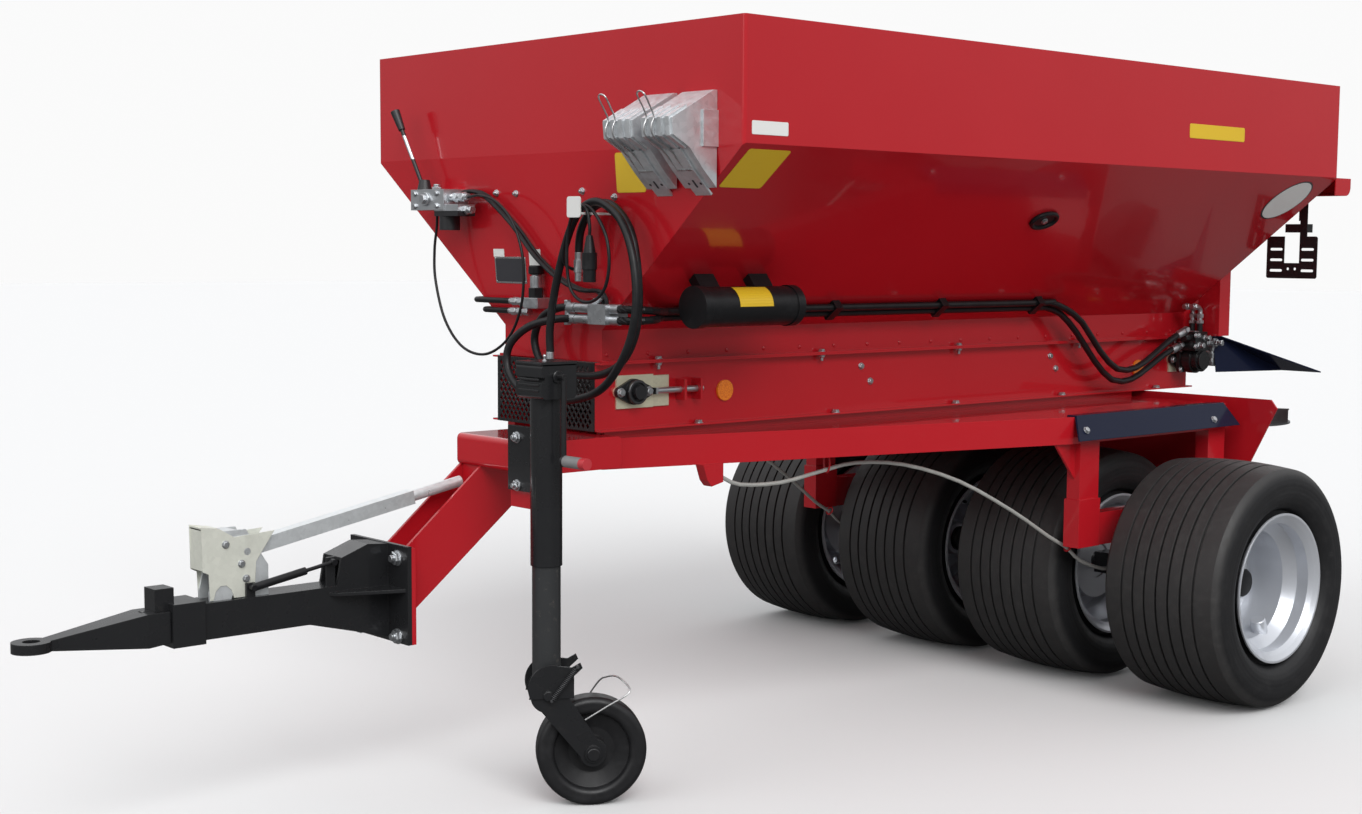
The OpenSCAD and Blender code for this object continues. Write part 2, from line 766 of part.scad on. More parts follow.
module wheel_frames() {
    w = beam_w / 2;
    s = sleeve_t;
    color(red) rig() both_sides() translate([0, frame_y, 0]) difference() {
        union() {
            for (x = [-post_x, post_x]) {
                block([x - post_l / 2, -w, lower_z + lower_h / 2], [x + post_l / 2, w, beam_low]);
                block([x - post_l / 2 - s, -w - s, lower_z], [x + post_l / 2 + s, w + s, lower_z + sleeve_h]);
            }
            block([-post_x, -w, lower_z], [post_x, w, lower_z + lower_h]);
            translate([-pivot_l / 2, 0, pin_z]) xcyl(pivot_r, pivot_l);
            translate([0, -4, beam_low]) xz_plate(8) polygon([[post_x, 0], [post_x, -gusset_h],
                [deck_rear, -gusset_h], [deck_rear + gusset_l, 0]]);
        }
        translate([-pivot_l / 2 - 5, 0, pin_z]) xcyl(shaft_r + fit, pivot_l + 10);
    }
}

module axles() {
    beam = axle_half - dish - 62;
    cheek_x = pivot_l / 2 + slide_gap;
    outer_x = cheek_x + cheek_t;
    color(dark) rig() both_sides() translate([0, frame_y, 0]) {
        block([-axle_s / 2, -beam, wheel_r - axle_s / 2], [axle_s / 2, beam, wheel_r + axle_s / 2]);
        translate([0, -axle_half + dish - 45, wheel_r]) ycyl(stub_r, 2 * axle_half - 2 * dish + 90);
        for (x = [-outer_x, cheek_x]) translate([x, 0, 0]) yz_plate(cheek_t)
            link([0, wheel_r], [0, pin_z], 44, pivot_r - 6);
        block([-outer_x, -30, wheel_r - 30], [outer_x, 30, wheel_r + 10]);
        translate([-outer_x, 0, pin_z]) xcyl(shaft_r, 2 * outer_x);
    }
}

// Wheel rim about Y, open side towards +Y, with curled flanges, a drop centre and a holed disc.
module rim_shape() {
    bore = stub_r + fit;
    t = rim_t;
    hole_at = (drum_r + 14 + well_r) / 2;
    rotate([-90, 0, 0]) difference() {
        rotate_extrude($fn = 96) {
            polygon([[rim_r, rim_half], [rim_r, rim_half - 6], [seat_r + 9, rim_half - 19], [seat_r, rim_half - 26],
                [seat_r, rim_half - 60], [well_r, rim_half - 95], [well_r, 130 - rim_half], [seat_r, 70 - rim_half],
                [seat_r, 26 - rim_half], [seat_r + 9, 19 - rim_half], [rim_r, 6 - rim_half], [rim_r, -rim_half],
                [rim_r - 7, -rim_half], [seat_r + 4, 12 - rim_half], [seat_r - t, 24 - rim_half],
                [seat_r - t, 67 - rim_half], [well_r - t, 127 - rim_half], [well_r - t, rim_half - 98],
                [seat_r - t, rim_half - 63], [seat_r - t, rim_half - 24], [seat_r + 4, rim_half - 12],
                [rim_r - 7, rim_half]]);
            polygon([[bore + 30, -dish - 6], [drum_r - 10, -dish - 6], [drum_r + 12, -dish + 22],
                [well_r - 4, -dish + 22], [well_r - 4, -dish + 34], [drum_r + 6, -dish + 34],
                [drum_r - 16, -dish + 6], [bore + 30, -dish + 6]]);
            translate([bore, -dish - 45]) square([42, 95]);
            translate([bore + 30, -dish - 50]) square([drum_r - bore - 30, 44]);
        }
        for (k = [0:rim_holes - 1]) rotate([0, 0, k * 360 / rim_holes]) translate([hole_at, 0, -dish])
            cylinder(r = hole_r, h = 60);
    }
}

// Ribbed tyre about Y.
module tyre_shape() {
    low = rim_r + 4;
    bead = rim_half - 27;
    pitch = tyre_w / (grooves + 3);
    rotate([-90, 0, 0]) rotate_extrude($fn = 96) difference() {
        union() {
            translate([seat_r, -bead]) square([70, 2 * bead]);
            intersection() {
                translate([low, -tyre_w / 2]) round_rect([wheel_r - low, tyre_w], shoulder_r);
                translate([wheel_r - crown_r, 0]) circle(r = crown_r, $fn = 360);
            }
        }
        for (i = [0:grooves - 1])
            translate([wheel_r - groove_d - 4, (i - (grooves - 1) / 2) * pitch - groove_w / 2])
                square([groove_d + 10, groove_w]);
    }
}

// Wheels are numbered from right to left: 1 outer right, 4 outer left.
module wheel_place(i) {
    y = [-wheel_out, -wheel_in, wheel_in, wheel_out][i - 1];
    out = (i == 4 || i == 2) ? 1 : -1;
    rig() translate([0, y, wheel_r]) scale([1, out, 1]) children();
}

module rim_1() { color(rim_grey) wheel_place(1) rim_shape(); }
module rim_2() { color(rim_grey) wheel_place(2) rim_shape(); }
module rim_3() { color(rim_grey) wheel_place(3) rim_shape(); }
module rim_4() { color(rim_grey) wheel_place(4) rim_shape(); }
module tyre_1() { color(rubber) wheel_place(1) tyre_shape(); }
module tyre_2() { color(rubber) wheel_place(2) tyre_shape(); }
module tyre_3() { color(rubber) wheel_place(3) tyre_shape(); }
module tyre_4() { color(rubber) wheel_place(4) tyre_shape(); }

module splash_plate() {
    top = trough_bottom - 2;
    chamfer = [24, 29];
    half = splash_w / 2;
    color(red) rig() {
        translate([-splash_x, 0, 0]) yz_plate(splash_t) polygon([
            [-half + chamfer.x, top], [-half, top - chamfer.y], [-splash_low_w / 2, splash_low],
            [splash_low_w / 2, splash_low], [half, top - chamfer.y], [half - chamfer.x, top]]);
        both_sides() block([-splash_x + splash_t - 1, deck_half - 150, beam_low + 10],
            [-deck_rear, deck_half - 60, deck_top - 5]);
    }
}

module guard_strips() {
    front = deck_rear + 50;
    rear = front - strip_l;
    low = deck_top - strip_drop;
    color(navy) rig() both_sides() intersection() {
        translate([rear - 60, 0, 0]) yz_plate(strip_l + 120) polygon([
            [deck_half - 30, deck_top], [deck_half, deck_top], [deck_half + strip_out - strip_t, low],
            [deck_half + strip_out, low], [deck_half + strip_t, deck_top + strip_t],
            [deck_half - 30, deck_top + strip_t]]);
        translate([0, deck_half - 40, 0]) xz_plate(strip_out + 60) polygon([
            [front - 20, deck_top + 10], [rear, deck_top + 10], [rear - 45, low - 1], [front + 20, low - 1]]);
    }
}

module overrun() {
    h = tube_s / 2;
    wide = neck_w / 2 + flange_lap;
    plate_x = flange_x + flange_t;
    head = h + collar_t;
    strut_x = [tube_x + 166, tube_x + 392];
    color(dark) rig() {
        block([plate_x, -wide, flange_low], [tube_x, wide, flange_high + 5]);
        translate([tube_x - 1, 0, tube_z]) square_tube(tube_s, tube_t, collar_x - tube_x + 1);
        translate([collar_x - 60, 0, tube_z]) difference() {
            union() {
                block([0, -head, -head], [collar_l, head, head]);
                block([collar_l - 15, -28, h - 9], [collar_l + 34, 28, h + 46]);
            }
            translate([-1, 0, 0]) xcyl(slide_r + fit, collar_l + 100);
            block([-1, -h, -h], [62, h, h]);
        }
        for (y = [-h, h - 8]) translate([0, y, 0]) xz_plate(8) {
            polygon([[tube_x - 1, tube_z + h - 2], [tube_x + 152, tube_z + h - 2], [tube_x + 138, tube_z + h + 72],
                [tube_x + 60, flange_high + 8], [tube_x - 1, flange_high + 3]]);
            polygon([[tube_x - 1, flange_low + 10], [tube_x + 240, tube_z - h + 2], [tube_x - 1, tube_z - h + 2]]);
        }
        translate([0, 1 - h, 0]) xz_plate(tube_s - 2) polygon([[tube_x + 138, tube_z + h + 72],
            [tube_x + 60, flange_high + 8], [tube_x - 1, flange_high + 3], [tube_x - 1, flange_high - 5],
            [tube_x + 60, flange_high], [tube_x + 137, tube_z + h + 63]]);
        both_sides() translate([0, 0, tube_z + 22]) linear_extrude(9) polygon([
            [tube_x - 1, h - 1], [tube_x + 175, h - 1], [tube_x + 160, h + 18], [tube_x - 1, wide - 10]]);
        block([strut_x[0] - 12, h - 13, tube_z + h - 1], [strut_x[0] + 12, h - 5, tube_z + h + 76]);
        block([strut_x[1] - 12, h - 13, tube_z + h - 1], [strut_x[1] + 12, h - 5, tube_z + h + 36]);
    }
}

module tow_eye() {
    root = collar_x - 60 + collar_l + 58;
    tip = eye_x - eye_r + 12;
    color(dark) rig() difference() {
        union() {
            translate([eye_x, 0, eye_z - eye_t / 2]) cylinder(r = eye_r, h = eye_t);
            intersection() {
                translate([0, -60, 0]) xz_plate(120) polygon([[root - 60, tube_z - 40], [root, tube_z - 46],
                    [tip, eye_z - eye_t / 2], [tip, eye_z + eye_t / 2], [root, tube_z + 36], [root - 60, tube_z + 36]]);
                linear_extrude(2 * tube_z) polygon([[root - 60, -44], [root, -44], [tip, -22], [tip, 22],
                    [root, 44], [root - 60, 44]]);
            }
            translate([collar_x - 160, 0, tube_z]) xcyl(slide_r, root - collar_x + 161);
        }
        translate([eye_x, 0, eye_z - eye_t]) cylinder(r = eye_bore, h = 2 * eye_t);
        block([root - 61, -60, tube_z - 60], [root - 56.5, 60, tube_z + 60]);
    }
}

module handbrake() {
    top = tube_z + tube_s / 2;
    rear = collar_x - 82 - bracket_l;
    pivot = [rear + 55, top + bracket_h - 70];
    color(zinc) rig() {
        for (y = [-bracket_w / 2, bracket_w / 2 - bracket_t]) translate([0, y, 0]) xz_plate(bracket_t) difference() {
            polygon([[rear, top], [rear + 50, top], [rear + 62, top + 35], [rear + 88, top + 35],
                [rear + 102, top], [rear + bracket_l, top], [rear + bracket_l, top + 20],
                [rear + bracket_l - 35, top + bracket_h], [rear + bracket_l - 100, top + bracket_h],
                [rear, top + 75]]);
            translate([rear + 30, top + 28]) circle(r = 6);
        }
        block([rear + bracket_l - 75, -bracket_w / 2 + 1, top + bracket_h - 6],
            [rear + bracket_l - 38, bracket_w / 2 - 1, top + bracket_h]);
        translate([pivot.x, 0, pivot.y]) rotate([0, lever_rise, 0]) {
            difference() {
                block([-lever_l + 160, -18, -4], [80, 18, 32]);
                block([-lever_l + 159, -14, -5], [81, 14, 28]);
            }
            translate([-lever_l, 0, 14]) xcyl(15, 180);
            translate([0, -bracket_w / 2 - 2, 14]) ycyl(pin_r, bracket_w + 4);
        }
    }
}

module gas_strut() {
    h = tube_s / 2;
    low = [tube_x + 392, tube_z + h + 25];
    high = [tube_x + 166, tube_z + h + 65];
    l = norm(high - low);
    color(dark) rig() translate([low.x, h + 5, low.y]) rotate([0, atan2(high.y - low.y, low.x - high.x), 0]) {
        for (x = [-l, 0]) translate([x, -10 + slide_gap, 0]) ycyl(8, 20);
        translate([-l, 0, 0]) xcyl(5, l / 2);
        translate([-l * 0.65, 0, 0]) xcyl(10, l * 0.65);
    }
}

module brake_cables() {
    color(zinc) rig() both_sides() {
        hose(brake_path, brake_r, [0, 1, 0], 3, 8);
    }
}

module jack_outer() {
    color(dark) rig() translate([jack_x, jack_y, 0]) difference() {
        union() {
            translate([0, 0, jack_low]) cylinder(r = jack_r, h = head_low + 5 - jack_low);
            translate([-head_s / 2, -head_s / 2, head_low]) xz_plate(head_s) difference() {
                round_rect([head_s, head_h], 14);
                translate([head_s - 10, head_h / 2 - 2]) square([20, 12]);
            }
            block([mount_x - jack_x, mount_y + 5 - jack_y, mount_low + 46],
                [mount_x - jack_x + mount_t, 6 - jack_r, mount_low + mount_h + 32]);
        }
        translate([0, 0, jack_low - 1]) cylinder(r = jack_r - jack_wall, h = head_low - jack_low);
    }
}

module jack_crank() {
    reach = 26;
    color(zinc) rig() translate([jack_x + 6, jack_y + head_s / 2, head_low + head_h * 0.62]) {
        ycyl(9, reach + 6);
        translate([0, reach, -crank_l]) cylinder(r = 7, h = crank_l);
        translate([0, reach, -crank_l]) ycyl(15, grip_l);
    }
}

// The foot and inner tube turned about the jack axis.
module jack_turn() {
    rig() translate([jack_x, jack_y, 0]) rotate([0, 0, foot_turn]) children();
}

module jack_inner() {
    tongue = foot_w / 2 + 2;
    color(dark) jack_turn() difference() {
        union() {
            translate([0, 0, foot_pin_z + 25]) cylinder(r = inner_r, h = inner_l);
            translate([0, -tongue / 2, 0]) xz_plate(tongue) {
                translate([0, foot_pin_z]) circle(r = 30);
                translate([-26, foot_pin_z]) square([52, 60]);
            }
        }
        translate([0, -60, foot_pin_z]) ycyl(pin_r + fit, 120);
    }
}

module jack_foot() {
    gap = foot_w / 2 + 9;
    cheek = 6;
    color(dark) jack_turn() {
        for (y = [-gap - cheek, gap]) translate([0, y, 0]) xz_plate(cheek) {
            link([0, foot_pin_z], [-foot_trail, foot_r], 46, 34, 0.88);
        }
        translate([0, -gap - cheek + 1, foot_pin_z]) ycyl(pin_r, 2 * gap + 2 * cheek - 2);
        translate([-foot_trail, -gap - 12, foot_r]) ycyl(10, 2 * gap + 24);
        for (y = [-gap - 14, gap + cheek - 1]) translate([-foot_trail, y, foot_r]) ycyl(22, 9);
    }
}

module jack_wheel() {
    color(rubber) jack_turn() translate([-foot_trail, 0, foot_r]) rotate([-90, 0, 0]) rotate_extrude() {
        translate([foot_r - 45, -foot_w / 2]) round_rect([45, foot_w], 16);
        polygon([[30, -8], [60, -8], [foot_r - 44, -20], [foot_r - 44, 20], [60, 8], [30, 8]]);
        translate([10 + fit, -foot_w / 2 - 6]) square([28, foot_w + 12]);
    }
}

// Side outline of a chock from the wall outwards.
function chock_side(t) = inset([[0, 0], [44, 43], [90, chock_h * 0.4], [chock_d - 4, chock_h * 0.52],
    [chock_d, chock_h * 0.69], [12, chock_h], [0, chock_h]], t);

module chock_shell() {
    rib = chock_w / 4;
    difference() {
        translate([0, -chock_w / 2, 0]) xz_plate(chock_w) polygon(chock_side(0));
        translate([0, -chock_w / 2 + chock_t, 0]) xz_plate(chock_w - 2 * chock_t) polygon(chock_side(chock_t));
        block([-1, -chock_w / 2 + chock_t, 20], [chock_t + 1, chock_w / 2 - chock_t, chock_h - 20]);
    }
    intersection() {
        for (i = [-1.5:1.5]) translate([0, i * rib - 7, 0]) xz_plate(14) difference() {
            polygon(chock_side(-5));
            polygon(chock_side(1));
        }
        block([94, -chock_w, 0], [chock_d + 10, chock_w, chock_h + 10]);
    }
}

module chocks() {
    color(zinc) rig() against_hopper() for (s = [-0.5, 0.5])
        translate([hopper_front + slide_gap, chock_y + s * chock_pitch, chock_z]) chock_shell();
}

module chock_holders() {
    side = chock_side(-slide_gap);
    out = [4, -4];
    seat = [[-14, -14], side[1], side[2]];
    color(zinc) rig() against_hopper() for (s = [-0.5, 0.5])
        translate([hopper_front + slide_gap, chock_y + s * chock_pitch, chock_z]) {
            translate([0, -chock_w / 4, 0]) xz_plate(chock_w / 2)
                polygon([seat[0], seat[0] + out, seat[1] + out, seat[2] + out, seat[2], seat[1]]);
            block([-12, chock_w / 2 + slide_gap, 100], [50, chock_w / 2 + slide_gap + 5, 190]);
        }
}

module hand_valve() {
    cap_y = valve_y + 65;
    foot = [valve_x, valve_y - 65, valve_z + 28];
    knob = [valve_x + 25, valve_y - 182, valve_z + 264];
    color(zinc) rig() against_hopper() {
        block([valve_x - 70, valve_y - 85, valve_z - 30], [valve_x + 35, valve_y + 85, valve_z + 30]);
        translate([valve_x, valve_y + 84, valve_z + 7]) ycyl(10, 76);
        block([valve_x - 30, valve_y + 30, valve_z - 48], [valve_x + 30, valve_y + 150, valve_z - 14]);
        translate([valve_x, cap_y, valve_z - 88]) cylinder(r = 30, h = 50);
        translate([foot.x, foot.y, valve_z + 20]) cylinder(r1 = 24, r2 = 15, h = 40);
        lean = knob - foot;
        translate(foot) rotate([0, acos(lean.z / norm(lean)), atan2(lean.y, lean.x)]) {
            cylinder(r = 6, h = norm(lean) - 40);
            translate([0, 0, norm(lean) - 62]) cylinder(r1 = 10, r2 = 14, h = 62);
        }
    }
}

module front_block() {
    color(zinc) rig() against_hopper() {
        block([hopper_front - 60, block_y - 35, block_z - 27], [hopper_front + 19, block_y + 40, block_z + 27]);
        for (z = [-15, 15]) {
            translate([hopper_front + 4, block_y - 100, block_z + z]) ycyl(13, 70);
            translate([hopper_front - 4, block_y + 39, block_z + z]) ycyl(13, 36);
        }
        translate([hopper_front - 60, block_y - 90, fold_z - 316]) xcyl(13, 55);
    }
}

module hose_hook() {
    plate = [56, 55];
    arm_w = 40;
    end = hopper_front + 118;
    color(white) rig() against_hopper() {
        block([hopper_front - 30, hook_y - arm_w / 2, hook_z - 6], [end, hook_y + arm_w / 2, hook_z]);
        translate([end - 4, hook_y - plate.x / 2, hook_z - 14]) yz_plate(4) round_rect(plate, 8);
    }
}

module document_tube() {
    cap = docs_r + 3;
    color(dark) rig() on_slope(docs_up) translate([docs_x, 0, -docs_drop]) {
        xcyl(docs_r, docs_l);
        for (x = [0, docs_l - 26]) translate([x, 0, 0]) xcyl(cap, 26);
        for (x = [50, docs_l - 120]) block([x, -14, docs_r - 16], [x + 70, 14, docs_drop - 0.1]);
    }
}

// Route of one of the two hoses along the sloping wall, down to the conveyor motor and up to its valve.
function side_path(k) = let (y = clamp_y + k * hose_pitch * cos(slope), z = clamp_z + k * hose_pitch * sin(slope))
    [[hopper_front - 4, block_y + 75, block_z - 15 + 30 * k],
    [hopper_front - 8, block_y + 104, block_z - 15 + 30 * k],
    [hopper_front - 40, block_y + 126, block_z - 14 + 28 * k],
    [hopper_front - 100, block_y + 112, block_z - 12 + 22 * k], [hopper_front - 180, y + 16, z],
    [hopper_front - 260, y, z], [hopper_front - 300, y, z], [1000, y, z], [235, y, z], [195, y, z],
    [110, y, z - 22], [20, y + 4, z - 90 + 20 * k],
    [-80, y + 8, z - 190 + 20 * k], [-180, y + 10, z - 258 + 22 * k], [-290, y + 10, z - 262 + 26 * k],
    [-400, y + 8, z - 222 + 30 * k], [-500, y + 4, z - 180 + 34 * k], [-590, y, z - 155 + 38 * k]];

module side_hoses() {
    color(rubber) rig() for (k = [0, 1]) hose(side_path(k), hose_r, [0, 1, 0.3], 2, 10);
}

module valve_hoses() {
    from_valve = [[85.5, 14], [130, 24], [210, 8], [330, -72], [430, -162], [530, -222], [620, -250]];
    color(rubber) rig() for (k = [0, 1]) hose(concat(
        [for (p = from_valve) [front_at(valve_z + p.y) + 14 + 14 * k, valve_y + p.x, valve_z + p.y]],
        [[front_at(block_z) + 24 + 6 * k, block_y - 40 + 20 * k, block_z + 62],
        [front_at(block_z) + 26 + 4 * k, block_y - 12 + 20 * k, block_z + 48],
        [front_at(block_z) + 26 + 4 * k, block_y - 5 + 20 * k, block_z + 27.5]]), 6, [1, 0, 0], 3, 8);
}

module hose_clamps() {
    color(zinc) rig() on_slope(clamp_up) for (x = [1225, 745, 260]) difference() {
        block([x - 15, -hose_r - 5, -hose_drop - hose_r - 4], [x + 15, hose_pitch + hose_r + 5, -0.1]);
        for (k = [0, 1]) translate([x - 20, hose_pitch * k, -hose_drop]) xcyl(hose_r + 0.2, 40);
    }
}

module reflectors() {
    front = [roller_front - 349, roller_z - 12];
    rear = [-roller_rear + 246, roller_z - 25];
    color(amber) rig() both_sides() for (p = [front, rear])
        translate([p.x, half_t, p.y]) ycyl(reflector_r, reflector_t);
}

module gate() {
    color(red) rig() {
        block([-gate_x - gate_t, -gate_w / 2, gate_low], [-gate_x, gate_w / 2, gate_low + gate_h]);
        block([-gate_x - 30, -gate_w / 4, gate_low + gate_h - 40], [-gate_x - gate_t + 1, gate_w / 4, gate_low + gate_h - 34]);
    }
}

module gate_columns() {
    in = gate_w / 2 - 10;
    color(red) rig() both_sides() difference() {
        block([-hopper_rear - column_d, in, column_low], [-hopper_rear, in + column_w, column_top]);
        block([-gate_x - gate_t - slide_gap, in - 1, column_low - 1], [-gate_x + slide_gap, gate_w / 2 + 6, column_top + 1]);
    }
}

module spinner_frame() {
    rail_y = 145;
    cross = disc_y + 60;
    color(red) rig() {
        translate([-disc_back, -cross, spin_low + spin_tube / 2]) rotate([0, 0, 90])
            square_tube(spin_tube * 2, 5, 2 * cross);
        both_sides() translate([-disc_back + spin_tube - 1, rail_y, spin_low + spin_tube / 2])
            square_tube(spin_tube, 4, disc_back - spin_tube - splash_x + 1);
    }
}

module spinner_motors() {
    base = spin_low + spin_tube * 1.5;
    color(dark) rig() both_sides() translate([-disc_back, disc_y, base]) {
        cylinder(r = 48, h = disc_z - base - 22);
        cylinder(r = spindle_r, h = disc_z + vane_h - 5 - base);
    }
}

module disc_shape() {
    hub_r = 45;
    difference() {
        union() {
            cylinder(r = disc_r, h = disc_t);
            cylinder(r = hub_r, h = 40);
            for (k = [0:vanes - 1]) rotate([0, 0, k * 360 / vanes + 20]) {
                block([hub_r + 15, -3, disc_t - 1], [disc_r - 4, 3, disc_t + vane_h]);
                block([hub_r + 15, -3, disc_t + vane_h - 5], [disc_r - 4, 18, disc_t + vane_h]);
            }
        }
        translate([0, 0, -1]) cylinder(r = spindle_r + fit, h = vane_h + 60);
    }
}

module disc_left() { color(zinc) rig() translate([-disc_back, disc_y, disc_z]) disc_shape(); }
module disc_right() { color(zinc) rig() translate([-disc_back, -disc_y, disc_z]) disc_shape(); }

module spinner_hood() {
    t = 4;
    r = 2;
    low = trough_bottom + 57;
    reach = rear_reach - 20;
    x = -hood_x - r;
    top = [x, gate_w / 2 + 10, trough_top + 9];
    front = [x, gate_w / 2 + 30, low];
    heel = [-reach, disc_y + 123, low];
    tip = [-reach + 4, disc_y + 285, low];
    color(navy) rig() {
        hull() for (p = [top, heel], s = [-1, 1])
            translate([p.x, s * p.y, p.z]) cylinder(r = r, h = t, $fn = 16);
        both_sides() {
            hull() for (p = [top, heel, tip]) translate(p) cylinder(r = r, h = t, $fn = 16);
            hull() for (p = [top, front, heel]) translate(p) cylinder(r = r, h = t, $fn = 16);
        }
    }
}

module conveyor_motor() {
    side = 92;
    color(dark) rig() translate([-roller_rear, half_t + housing_l, roller_z]) difference() {
        union() {
            translate([-side / 2, 0, -side / 2]) xz_plate(14) round_rect([side, side], 14);
            ycyl(42, 80);
            translate([0, 26, 0]) ycyl(48, 30);
            translate([0, 78, 0]) ycyl(34, 12);
            block([-24, 20, 36], [52, 84, 104]);
            for (z = [56, 84]) translate([50, 34 + (z - 56), z]) xcyl(12, 43);
            for (y = [34, 66]) translate([0, y, 100]) cylinder(r = 11, h = 34);
        }
        translate([0, -1, 0]) ycyl(shaft_r + fit, 17);
    }
}

// Slot for a plate screw.
module screw_slot(c) {
    translate(c) link([-20.5, 0], [20.5, 0], 4.5, 4.5);
}

module plate_holder() {
    strap = [holder_w * 0.62, 34];
    notch = 60;
    top = holder_h + 152;
    color(dark) rig() translate([-hopper_rear - rail_d - 3, holder_y, fold_z - rail_h - holder_h - 140]) {
        yz_plate(3) difference() {
            union() {
                round_rect([holder_w, holder_h], 8);
                translate([strap.x, holder_h - 12]) square([strap.y, top - holder_h + 40]);
            }
            translate([(holder_w - notch) / 2, 55]) square([notch, holder_h]);
            for (z = [28, 66, 104], y = [38, holder_w - 38]) screw_slot([y, z]);
            for (y = [-14, 14]) translate([holder_w / 2 + y, 34]) circle(r = 5);
        }
        block([-34, strap.x - 54, holder_h + 14], [1, strap.x + strap.y, holder_h + 44]);
    }
}

module hose_a() { color(rubber) rig() hose(hose_a_path, hose_r, [1, 0, 0]); }
module hose_b() { color(rubber) rig() hose(hose_b_path, hose_r, [1, 0, 0]); }
module lamp_cable() { color(rubber) rig() hose(lamp_path, lamp_cable_r, [0.8, 0.6, 0], 1, 8); }
module valve_cable() { color(rubber) rig() hose(valve_path, cable_r, [1, 0, 0], 1, 8); }

module hose_couplings() {
    l = 78;
    color(zinc) rig() for (p = [hose_a_path[len(hose_a_path) - 1], hose_b_path[len(hose_b_path) - 1]])
        translate([p.x, p.y, p.z - l]) {
            cylinder(r = 11, h = l);
            translate([0, 0, 24]) cylinder(r = 14, h = 34);
        }
}

module lamp_plug() {
    end = lamp_path[len(lamp_path) - 1];
    color(dark) rig() translate(end) rotate([180, 0, 0]) {
        cylinder(r1 = 8, r2 = 17, h = 46);
        translate([0, 0, 45]) cylinder(r = 20, h = 44);
        translate([0, 0, 88]) cylinder(r = 17, h = 34);
    }
}

hopper();
rear_rail();
trough();
mesh_guard();
belt();
rollers();
bearing_plates();
chassis();
gooseneck();
wheel_frames();
axles();
rim_1();
rim_2();
rim_3();
rim_4();
tyre_1();
tyre_2();
tyre_3();
tyre_4();
splash_plate();
guard_strips();
overrun();
tow_eye();
handbrake();
gas_strut();
brake_cables();
jack_outer();
jack_crank();
jack_inner();
jack_foot();
jack_wheel();
chocks();
chock_holders();
hand_valve();
front_block();
hose_hook();
document_tube();
side_hoses();
valve_hoses();
hose_clamps();
reflectors();
gate();
gate_columns();
spinner_frame();
spinner_motors();
disc_left();
disc_right();
spinner_hood();
conveyor_motor();
plate_holder();
hose_a();
hose_b();
hose_couplings();
lamp_cable();
lamp_plug();
valve_cable();
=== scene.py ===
import math

import bmesh
import bpy
from mathutils import Matrix, Vector


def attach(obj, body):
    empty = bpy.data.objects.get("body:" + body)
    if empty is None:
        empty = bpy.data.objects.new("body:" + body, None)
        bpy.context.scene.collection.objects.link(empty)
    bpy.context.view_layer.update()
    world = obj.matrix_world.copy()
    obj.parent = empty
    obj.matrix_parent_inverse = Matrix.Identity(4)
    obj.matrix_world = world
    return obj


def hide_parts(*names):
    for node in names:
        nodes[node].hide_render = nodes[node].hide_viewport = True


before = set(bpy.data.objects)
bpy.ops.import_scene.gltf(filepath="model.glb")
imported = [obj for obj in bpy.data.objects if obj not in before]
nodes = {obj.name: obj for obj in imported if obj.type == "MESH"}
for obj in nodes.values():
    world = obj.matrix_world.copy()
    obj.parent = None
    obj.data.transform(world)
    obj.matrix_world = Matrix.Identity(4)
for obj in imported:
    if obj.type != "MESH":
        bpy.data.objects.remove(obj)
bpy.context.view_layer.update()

X, Y, Z = Vector((1, 0, 0)), Vector((0, 1, 0)), Vector((0, 0, 1))
SIDES = (-1, 1)

# Sizes of the CAD model that the trim follows, in millimetres from the ground below the axles' middle
TROUGH_HALF, HOPPER_HALF = 223, 825
SLOPE_FOOT_Z, FOLD_Z = 1219, 1701
FRONT_X, FRONT_LEAN = 2081, 41
WHEEL_R = 390
WHEEL_Y = (-893, -282, 282, 893)
ROLLER_Z = 1048
ROLLER_FRONT_X, ROLLER_REAR_X = 1938, -685
JACK_X, JACK_Y = 2352, 385
JACK_FOOT_TURN = math.radians(-32)

# Place of the axles along the row frame, in metres
AXLE_X = -1.233


def mm(x, y, z):
    """A point given in millimetres from the ground below the axles' middle, in the row frame in metres."""
    return Vector((x / 1000 + AXLE_X, y / 1000, z / 1000))


def angles(count):
    """Angles spread evenly round a circle."""
    return [math.tau * i / count for i in range(count)]


def new_object(name, data):
    """A new object in the scene that shows the data."""
    thing = bpy.data.objects.new(name, data)
    bpy.context.scene.collection.objects.link(thing)
    return thing


# Directions and points on the hopper's sloping side and on its leaning front
SLOPE = math.atan2(FOLD_Z - SLOPE_FOOT_Z, HOPPER_HALF - TROUGH_HALF)
UP_SLOPE = Vector((0, math.cos(SLOPE), math.sin(SLOPE)))
OFF_SLOPE = Vector((0, math.sin(SLOPE), -math.cos(SLOPE)))
UP_FRONT = Vector((FRONT_LEAN, 0, FOLD_Z - SLOPE_FOOT_Z)).normalized()
OFF_FRONT = Vector((FOLD_Z - SLOPE_FOOT_Z, 0, -FRONT_LEAN)).normalized()


def slope_point(x, z, side=1):
    y = TROUGH_HALF + (z - SLOPE_FOOT_Z) / math.tan(SLOPE)
    return mm(x, side * y, z)


def front_point(y, z):
    below_fold = max(0, FOLD_Z - z) / (FOLD_Z - SLOPE_FOOT_Z)
    return mm(FRONT_X - FRONT_LEAN * below_fold, y, z)


# Camera, solved from the photo: its place in metres, its lens in pixels of a picture of that size
IMAGE = (1362, 814)
FOCAL_PIXELS = 1861.8
CENTRE_PIXELS = (717.1, 426.3)
CAMERA_AT = Vector((3.9816, 4.1770, 1.4474))
CAMERA_VIEW = Vector((-0.67013, -0.73602, -0.09591))
CAMERA_ROLL = math.radians(0.4517)
SENSOR_WIDTH = 36


